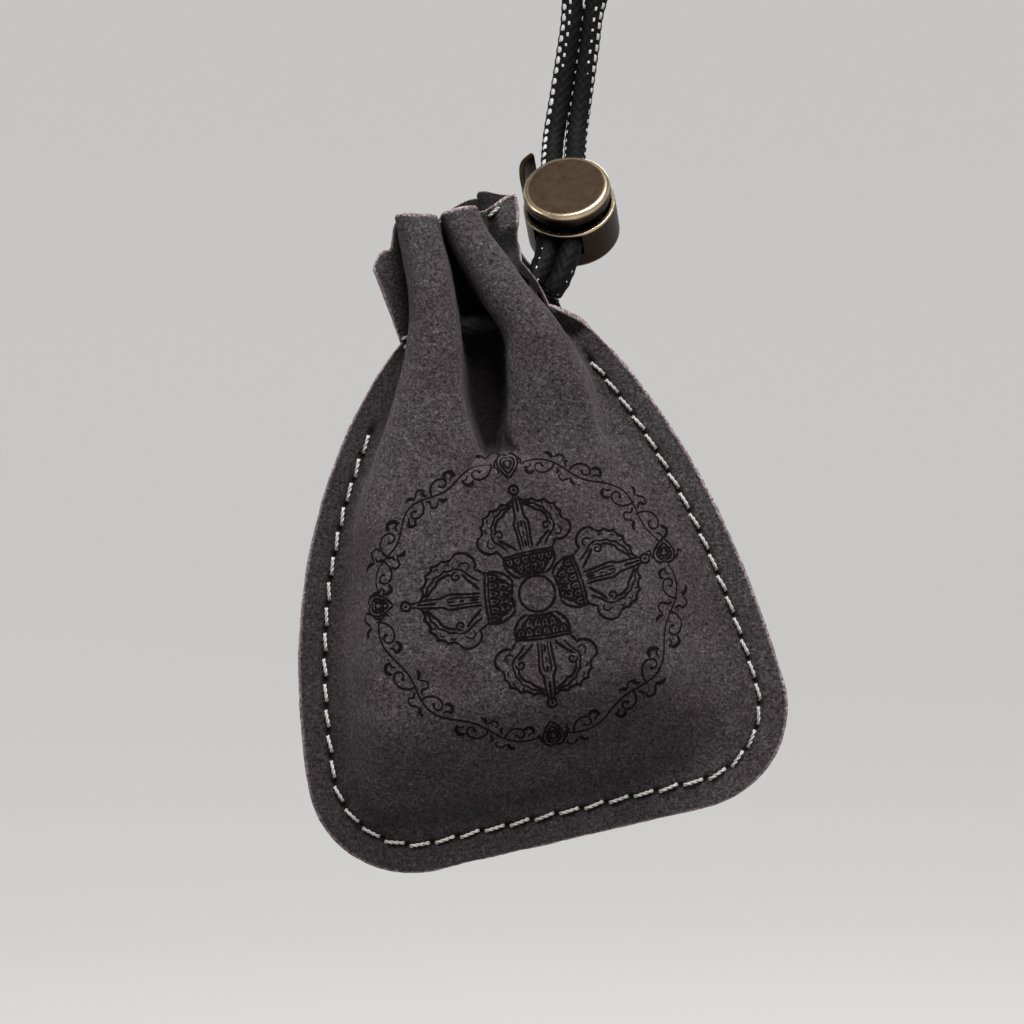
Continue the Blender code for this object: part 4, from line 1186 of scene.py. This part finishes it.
# One spray of the vine: which way it runs, each stroke's width, and pixels along the ring and out from it.
VINE_SIZES = (1.0, 0.88, 1.08, 0.94, 1.12)
VINE_UNIT = (
    (1.0, 0.95, (-15.0, -4.0), (-13.0, 3.0), (-7.5, 8.4), (0.0, 9.6), (5.6, 6.4), (5.8, 1.4), (1.6, -0.6),
     (-2.0, 1.6)),
    (1.0, 1.7, (-1.4, 0.4), (-2.2, 2.4), (-1.0, 3.4)),
    (1.0, 1.75, (6.4, 8.0), (10.6, 11.2), (15.0, 9.8), (17.6, 5.2)),
    (1.0, 1.0, (10.4, 1.0), (13.4, 4.6), (18.6, 4.0)),
    (-1.0, 0.95, (12.0, -9.0), (18.0, -13.5), (23.5, -11.0), (22.0, -7.0)),
    (-1.0, 1.7, (11.0, -8.4), (7.6, -12.6), (2.8, -13.6)),
    (1.0, 1.2, (-18.0, 1.6), (-21.0, 5.8), (-18.4, 8.6)),
)
# A bud's half outline with its sizes and widths, its leaf, and the veins that all buds but the top one have.
BUD_OUTLINE = ((-14.5, 0.0), (-8.0, 6.0), (0.0, 10.4), (7.0, 9.2), (10.0, 4.0), (8.0, 0.0))
BUD_SIZES = ((1.0, 1.1), (0.66, 1.2), (0.34, 1.6))
BUD_LEAF = ((7.0, 9.0), (3.0, 13.0), (-2.0, 13.4), (-1.0, 17.0))
BUD_VEINS = (-5.0, -1.0, 3.0)


def vine_strokes():
    """The vine's wavy stem with its sprays, and the four buds on the ring."""
    made = []
    for start, end in zip(BUD_ANGLES, (*BUD_ANGLES[1:], BUD_ANGLES[0] + 360.0)):
        first, last = start + BUD_ROOM, end - BUD_ROOM
        waves = 4 if last - first < SHORT_VINE else 5
        share = np.linspace(0.0, 1.0, 16 * waves + 1)
        swing = VINE_SWING * np.sin(math.pi * waves * share) * (0.75 + 0.25 * np.sin(math.pi * share))
        made.append((VINE_WIDE, ring_place(first + (last - first) * share, swing), True))
        for wave in range(waves):
            angle = first + (last - first) * (wave + 0.5) / waves
            size = VINE_SIZES[len(made) % len(VINE_SIZES)] * (1.0 if wave % 2 else -1.0)
            for turn, wide, *piece in VINE_UNIT:
                piece = np.array(piece) * size
                away = np.degrees(turn * piece[:, 0] / RING_HALF.mean())
                made.append((wide, ring_place(angle + away, piece[:, 1]), True))
    for index, (angle, foot) in enumerate(zip(BUD_ANGLES, BUD_FEET)):
        centre = ring_place(angle, 0.0)
        out = unit(centre - RING_CENTRE) if foot is None else np.array(foot)
        half = [(wide, np.array(BUD_OUTLINE) * size) for size, wide in BUD_SIZES]
        half.append((1.0, np.array(BUD_LEAF)))
        if index:
            half.extend((1.2, np.array(((place, 1.4), (place + 0.8, 7.0)))) for place in BUD_VEINS)
        for side in (across(out), -across(out)):
            made.extend((wide, centre + points[:, :1] * out + points[:, 1:] * side, True)
                        for wide, points in half)
    return made


def make_medallion(face, look, camera):
    """Thin dark strips laid on the front panel along the camera's rays."""
    world = moved(face.reshape(-1, 3), pouch_matrix())
    tree = BVHTree.FromPolygons(world.tolist(), grid_faces(*face.shape[:2]).tolist())
    eye = camera.location
    strokes = [stroke for arm in ARMS for stroke in placed_arm(*arm)] + vine_strokes()
    strokes.append((1.25, curl(BOSS, BOSS_RADIUS), True))
    parts = []
    for wide, points, smooth in strokes:
        places, normals = [], []
        for x, y in smooth_line(points) if smooth else even_points(points, PRINT_STEP):
            target = Vector(((x - PICTURE_X) * PIXEL, POUCH_FOOT.y, (PICTURE_Y - y) * PIXEL))
            place, normal, _, _ = tree.ray_cast(eye, (target - eye).normalized())
            if place is not None:
                places.append(place)
                normals.append(normal if normal.dot(target - eye) < 0 else -normal)
        if len(places) < 2:
            continue
        places, normals = np.array(places), np.array(normals)
        beside = unit(np.cross(normals, unit(np.gradient(places, axis=0))))
        uneven = 1.0 + sum(share * wobble(places, size * MM, seed) for size, seed, share in LINE_LUMPS)
        from_end = np.minimum(np.arange(len(places)), np.arange(len(places))[::-1])
        taper = np.minimum(1.0, TAPER_START + TAPER_STEP * from_end)
        aside = beside * (wide * LINE_WIDE * PIXEL / 2 * uneven * taper)[:, None]
        top, deep = places + normals * PRINT_LIFT, places - normals * PRINT_DEEP
        parts.append(capped(np.stack((top - aside, top + aside, deep + aside, deep - aside), axis=1)))
    obj = mesh_object("medallion_print", *joined(parts), look, smooth=False)
    face_outward(obj.data)
    enrol(obj, "pouch")


# The cord lock
LOCK_SIDES = 144
LOCK_ARC_STEPS = 8
SHARP_FROM = 32.0
# Points on the barrel's side and on the button's face, and how far they stay from the ends.
SIDE_POINTS = 6
SIDE_FROM_RIM = 0.6 * MM
SIDE_FROM_EDGE = 0.4 * MM
FACE_POINTS = 5
FACE_MARGIN = 0.5 * MM
HEAD_CHAMFER = 0.2 * MM


def arc_points(centre, radius, start, end):
    turn = np.radians(np.linspace(start, end, LOCK_ARC_STEPS + 1))
    return [(centre[0] + radius * math.cos(a), centre[1] + radius * math.sin(a)) for a in turn]


def lock_solid(name, verts, faces, look=()):
    """A closed solid in the lock's frame."""
    obj = mesh_object(name, verts, faces, look, lock_matrix(), smooth=False)
    face_outward(obj.data)
    return obj


def turned(name, profile, look):
    """A closed turned solid; the profile starts and ends on the axis."""
    turn = np.linspace(0.0, 2 * math.pi, LOCK_SIDES, endpoint=False)
    points = np.array(profile[1:-1])
    rings = np.stack((points[:, :1] * np.cos(turn), points[:, :1] * np.sin(turn),
                      np.repeat(points[:, 1:], LOCK_SIDES, axis=1)), axis=2).reshape(-1, 3)
    ends = np.array(((0.0, 0.0, profile[0][1]), (0.0, 0.0, profile[-1][1])))
    return lock_solid(name, np.concatenate((rings, ends)), fanned(len(points), LOCK_SIDES), look)


def box(size, centre):
    corner = np.array([(x, y, z) for x in (-0.5, 0.5) for y in (-0.5, 0.5) for z in (-0.5, 0.5)])
    faces = [(0, 1, 3, 2), (4, 6, 7, 5), (0, 4, 5, 1), (2, 3, 7, 6), (0, 2, 6, 4), (1, 5, 7, 3)]
    return lock_solid("window", corner * np.array(size) + np.array(centre), faces)


def combine(obj, other, operation):
    """Applies a Boolean and deletes the other solid."""
    step = obj.modifiers.new("cut", "BOOLEAN")
    step.operation = operation
    step.solver = "EXACT"
    step.object = other
    bpy.context.view_layer.update()
    graph = bpy.context.evaluated_depsgraph_get()
    made = bpy.data.meshes.new_from_object(obj.evaluated_get(graph))
    obj.modifiers.clear()
    obj.data = made
    bpy.data.objects.remove(other, do_unlink=True)


def guard_solid():
    """The small curved lip beside the strands, as a bar with bevelled edges."""
    side = -WINDOW_SIDE - GUARD_WALL
    path = np.array([(side - out * MM, LOCK_WIDTH / 2 + past * MM) for out, past in GUARD_ROUTE])
    path = even_points(spline(path, np.linspace(0.0, 1.0, GUARD_SAMPLES)), GUARD_STEP)
    ahead = unit(np.gradient(path, axis=0))
    beside = np.stack((-ahead[:, 1], ahead[:, 0]), axis=1)
    half, low, high, bevel = GUARD_WALL / 2, GUARD_TOP - GUARD_DEPTH, GUARD_TOP, GUARD_BEVEL
    outline = [(-half + bevel, low), (half - bevel, low), (half, low + bevel), (half, high - bevel),
               (half - bevel, high), (-half + bevel, high), (-half, high - bevel), (-half, low + bevel)]
    rings = [[(place[0] + out[0] * w, place[1] + out[1] * w, h) for w, h in outline]
             for place, out in zip(path, beside)]
    return lock_solid("guard", *capped(np.array(rings)))


def finish_metal(obj, body, node):
    obj.data.shade_smooth()
    obj.data.set_sharp_from_angle(angle=math.radians(SHARP_FROM))
    enrol(obj, body, node)


def make_barrel():
    """The lock's barrel with its lip and the cross window that the strands pass through."""
    outer = LOCK_WIDTH / 2
    worn = ((outer / MM, RIM_HEIGHT / MM, 0.55), (BORE_RADIUS / MM, RIM_HEIGHT / MM, 0.4),
            (outer / MM, LOCK_BOTTOM / MM, 0.7))
    # The barrel's face colours are much darker than the button's, as painted shade on its sides, and it is
    # painted darker still towards its foot.
    look = brass_look("antique_brass_body", worn, (0.015, 0.0088, 0.0043), (0.026, 0.0160, 0.0085),
                      (-4.0, 2.0, 0.8))
    edge = arc_points((outer - LOCK_EDGE, LOCK_BOTTOM + LOCK_EDGE), LOCK_EDGE, 0.0, -90.0)
    rim_out = arc_points((outer - RIM_EDGE, RIM_HEIGHT - RIM_EDGE), RIM_EDGE, 90.0, 0.0)
    rim_in = arc_points((BORE_RADIUS + RIM_EDGE, RIM_HEIGHT - RIM_EDGE), RIM_EDGE, 180.0, 90.0)
    top, foot = RIM_HEIGHT - SIDE_FROM_RIM, LOCK_BOTTOM + LOCK_EDGE + SIDE_FROM_EDGE
    side = [(outer, z) for z in np.linspace(top, foot, SIDE_POINTS)]
    profile = [(0.0, FLOOR_TOP), (BORE_RADIUS, FLOOR_TOP), *rim_in, *rim_out, *side, *edge,
               (0.0, LOCK_BOTTOM)]
    barrel = turned("lock_barrel", profile, look)
    combine(barrel, guard_solid(), "UNION")
    right = STRAND_RIGHT + WINDOW_HALF
    combine(barrel, box((right + WINDOW_SIDE, 3 * LOCK_WIDTH, 2 * WINDOW_HALF),
                        ((right - WINDOW_SIDE) / 2, 0.0, 0.0)), "DIFFERENCE")
    finish_metal(barrel, "lock", "lock_body")


def make_button():
    head = BUTTON_WIDTH / 2
    # Painted shade: the head's side and the stem below it darker towards the bottom, down to a fifth.
    look = brass_look("antique_brass_button", ((head / MM - 0.2, HEAD_TOP / MM - 0.2, 0.80),),
                      (0.037, 0.0245, 0.0155), (0.054, 0.037, 0.0245),
                      (HEAD_BOTTOM / MM + 0.3, HEAD_TOP / MM - 0.7, 0.2))
    edge = arc_points((head - BUTTON_EDGE, HEAD_TOP - BUTTON_EDGE), BUTTON_EDGE, 90.0, 0.0)
    face = [(radius, HEAD_TOP)
            for radius in np.linspace(FACE_MARGIN, head - BUTTON_EDGE - FACE_MARGIN, FACE_POINTS)]
    button = turned("lock_button_head", [
        (0.0, HEAD_TOP), *face, *edge, (head, HEAD_BOTTOM + HEAD_CHAMFER), (head - HEAD_CHAMFER, HEAD_BOTTOM),
        (STEM_RADIUS, HEAD_BOTTOM), (STEM_RADIUS, BRIDGE_BOTTOM), (0.0, BRIDGE_BOTTOM)], look)
    combine(button, box((2 * WINDOW_SIDE, LOCK_WIDTH, 2 * WINDOW_HALF + BUTTON_TRAVEL),
                        (0.0, 0.0, BUTTON_TRAVEL / 2)), "DIFFERENCE")
    finish_metal(button, "button", "lock_button")


def make_spring(node, look):
    """The coil under the button's stem, copied from the part's spring and kept as it is, though the button
    presses it flat.
    """
    mesh = node.data.copy()
    mesh.materials.clear()
    mesh.materials.append(look)
    obj = bpy.data.objects.new("lock_spring_coil", mesh)
    obj.matrix_world = node.matrix_world.copy()
    bpy.context.scene.collection.objects.link(obj)
    enrol(obj, "lock", "lock_spring")
    anchor = lock_matrix() @ Vector((0.0, 0.0, FLOOR_TOP))
    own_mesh(obj)


# Stage and light
FLOOR_HEIGHT = -0.30
FLOOR_RADIUS = 1.2
BEND_RADIUS = 1.4
WALL_TOP = 2.8
STAGE_SIDES = 96
BEND_POINTS = 25
STAGE_GLOW = 0.50
WORLD_COLOUR = (0.95, 0.96, 1.0, 1.0)
WORLD_STRENGTH = 0.22
# Each lamp's name, azimuth to the right of the front and elevation in degrees, distance, size and power.
LIGHTS = (("key", 14.0, 58.0, 0.75, 0.36, 7.6), ("fill", -72.0, 12.0, 1.5, 0.9, 4.6),
          ("back", 165.0, 40.0, 1.4, 0.9, 5.5))


def make_stage():
    """Pale paper that curves up all round; its glow shows to the camera and in reflections alone."""
    n = Nodes("paper")
    colour = n.mix(n.noise(n.place(), 300.0, 2.0, 0.5), (0.33, 0.325, 0.32, 1.0), (0.35, 0.345, 0.34, 1.0))
    n.set(Base_Color=colour, Roughness=0.9, Specular_IOR_Level=0.1)
    rays = n.add("LightPath").outputs
    seen = n.math("MAXIMUM", rays["Is Camera Ray"], rays["Is Glossy Ray"])
    seen = n.math("MAXIMUM", seen, rays["Is Transmission Ray"])
    strength = n.math("MULTIPLY", seen, STAGE_GLOW)
    glow = n.add("Emission", None, Color=(1.0, 0.99, 0.975, 1.0), Strength=strength)
    both = n.add("AddShader", None, i0=n.shader.outputs[0], i1=glow.outputs[0])
    n.put(n.tree.nodes["Material Output"].inputs["Surface"], both.outputs[0])
    n.material.cycles.emission_sampling = "NONE"
    profile = [(FLOOR_RADIUS + BEND_RADIUS * math.sin(angle), BEND_RADIUS * (1.0 - math.cos(angle)))
               for angle in np.linspace(0.0, math.pi / 2, BEND_POINTS)]
    profile.append((FLOOR_RADIUS + BEND_RADIUS, WALL_TOP))
    turn = np.linspace(0.0, 2 * math.pi, STAGE_SIDES, endpoint=False)
    rings = [(r * math.cos(a), r * math.sin(a), z + FLOOR_HEIGHT) for r, z in profile for a in turn]
    faces = grid_faces(len(profile), STAGE_SIDES, closed=True)[:, ::-1].tolist()
    faces.extend([index, (index + 1) % STAGE_SIDES, len(rings)] for index in range(STAGE_SIDES))
    mesh_object("cyclorama", [*rings, (0.0, 0.0, FLOOR_HEIGHT)], faces, n.material)


def make_lights():
    """Three round lamps aimed at the pouch, and a dim pale world."""
    for name, azimuth, elevation, distance, size, power in LIGHTS:
        data = bpy.data.lights.new(name, "AREA")
        data.shape = "DISK"
        data.size = size
        data.energy = power
        lamp = bpy.data.objects.new(name, data)
        lamp.visible_camera = False
        a, e = math.radians(azimuth), math.radians(elevation)
        way = Vector((math.sin(a) * math.cos(e), -math.cos(a) * math.cos(e), math.sin(e)))
        aimed(lamp, way, distance)
    world = bpy.data.worlds.new("studio")
    bpy.context.scene.world = world
    world.use_nodes = True
    background = world.node_tree.nodes["Background"].inputs
    background["Color"].default_value = WORLD_COLOUR
    background["Strength"].default_value = WORLD_STRENGTH
    bpy.context.scene.view_settings.view_transform = "Standard"


# Making everything, cords first
camera = make_camera()
make_cords()
suede = suede_look()
thread = thread_look()
line = stitch_line()
stitch_middles, stitch_ways, hole_places, hole_ways = stitch_places(line)
seam = (line, hole_places, hole_ways)
front_face = make_panel("front_suede", FRONT, "front_panel", suede, seam)
make_panel("back_suede", BACK, "back_panel", suede, seam)
make_stitches("stitches_front", 1.0, "seam_thread_front", thread, stitch_middles, stitch_ways, SINGLE_FRONT)
make_stitches("stitches_back", -1.0, "seam_thread_back", thread, stitch_middles, stitch_ways)
make_medallion(front_face, print_look(), camera)
make_barrel()
make_button()
make_spring(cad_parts["lock_spring"], steel_look())
make_stage()
make_lights()
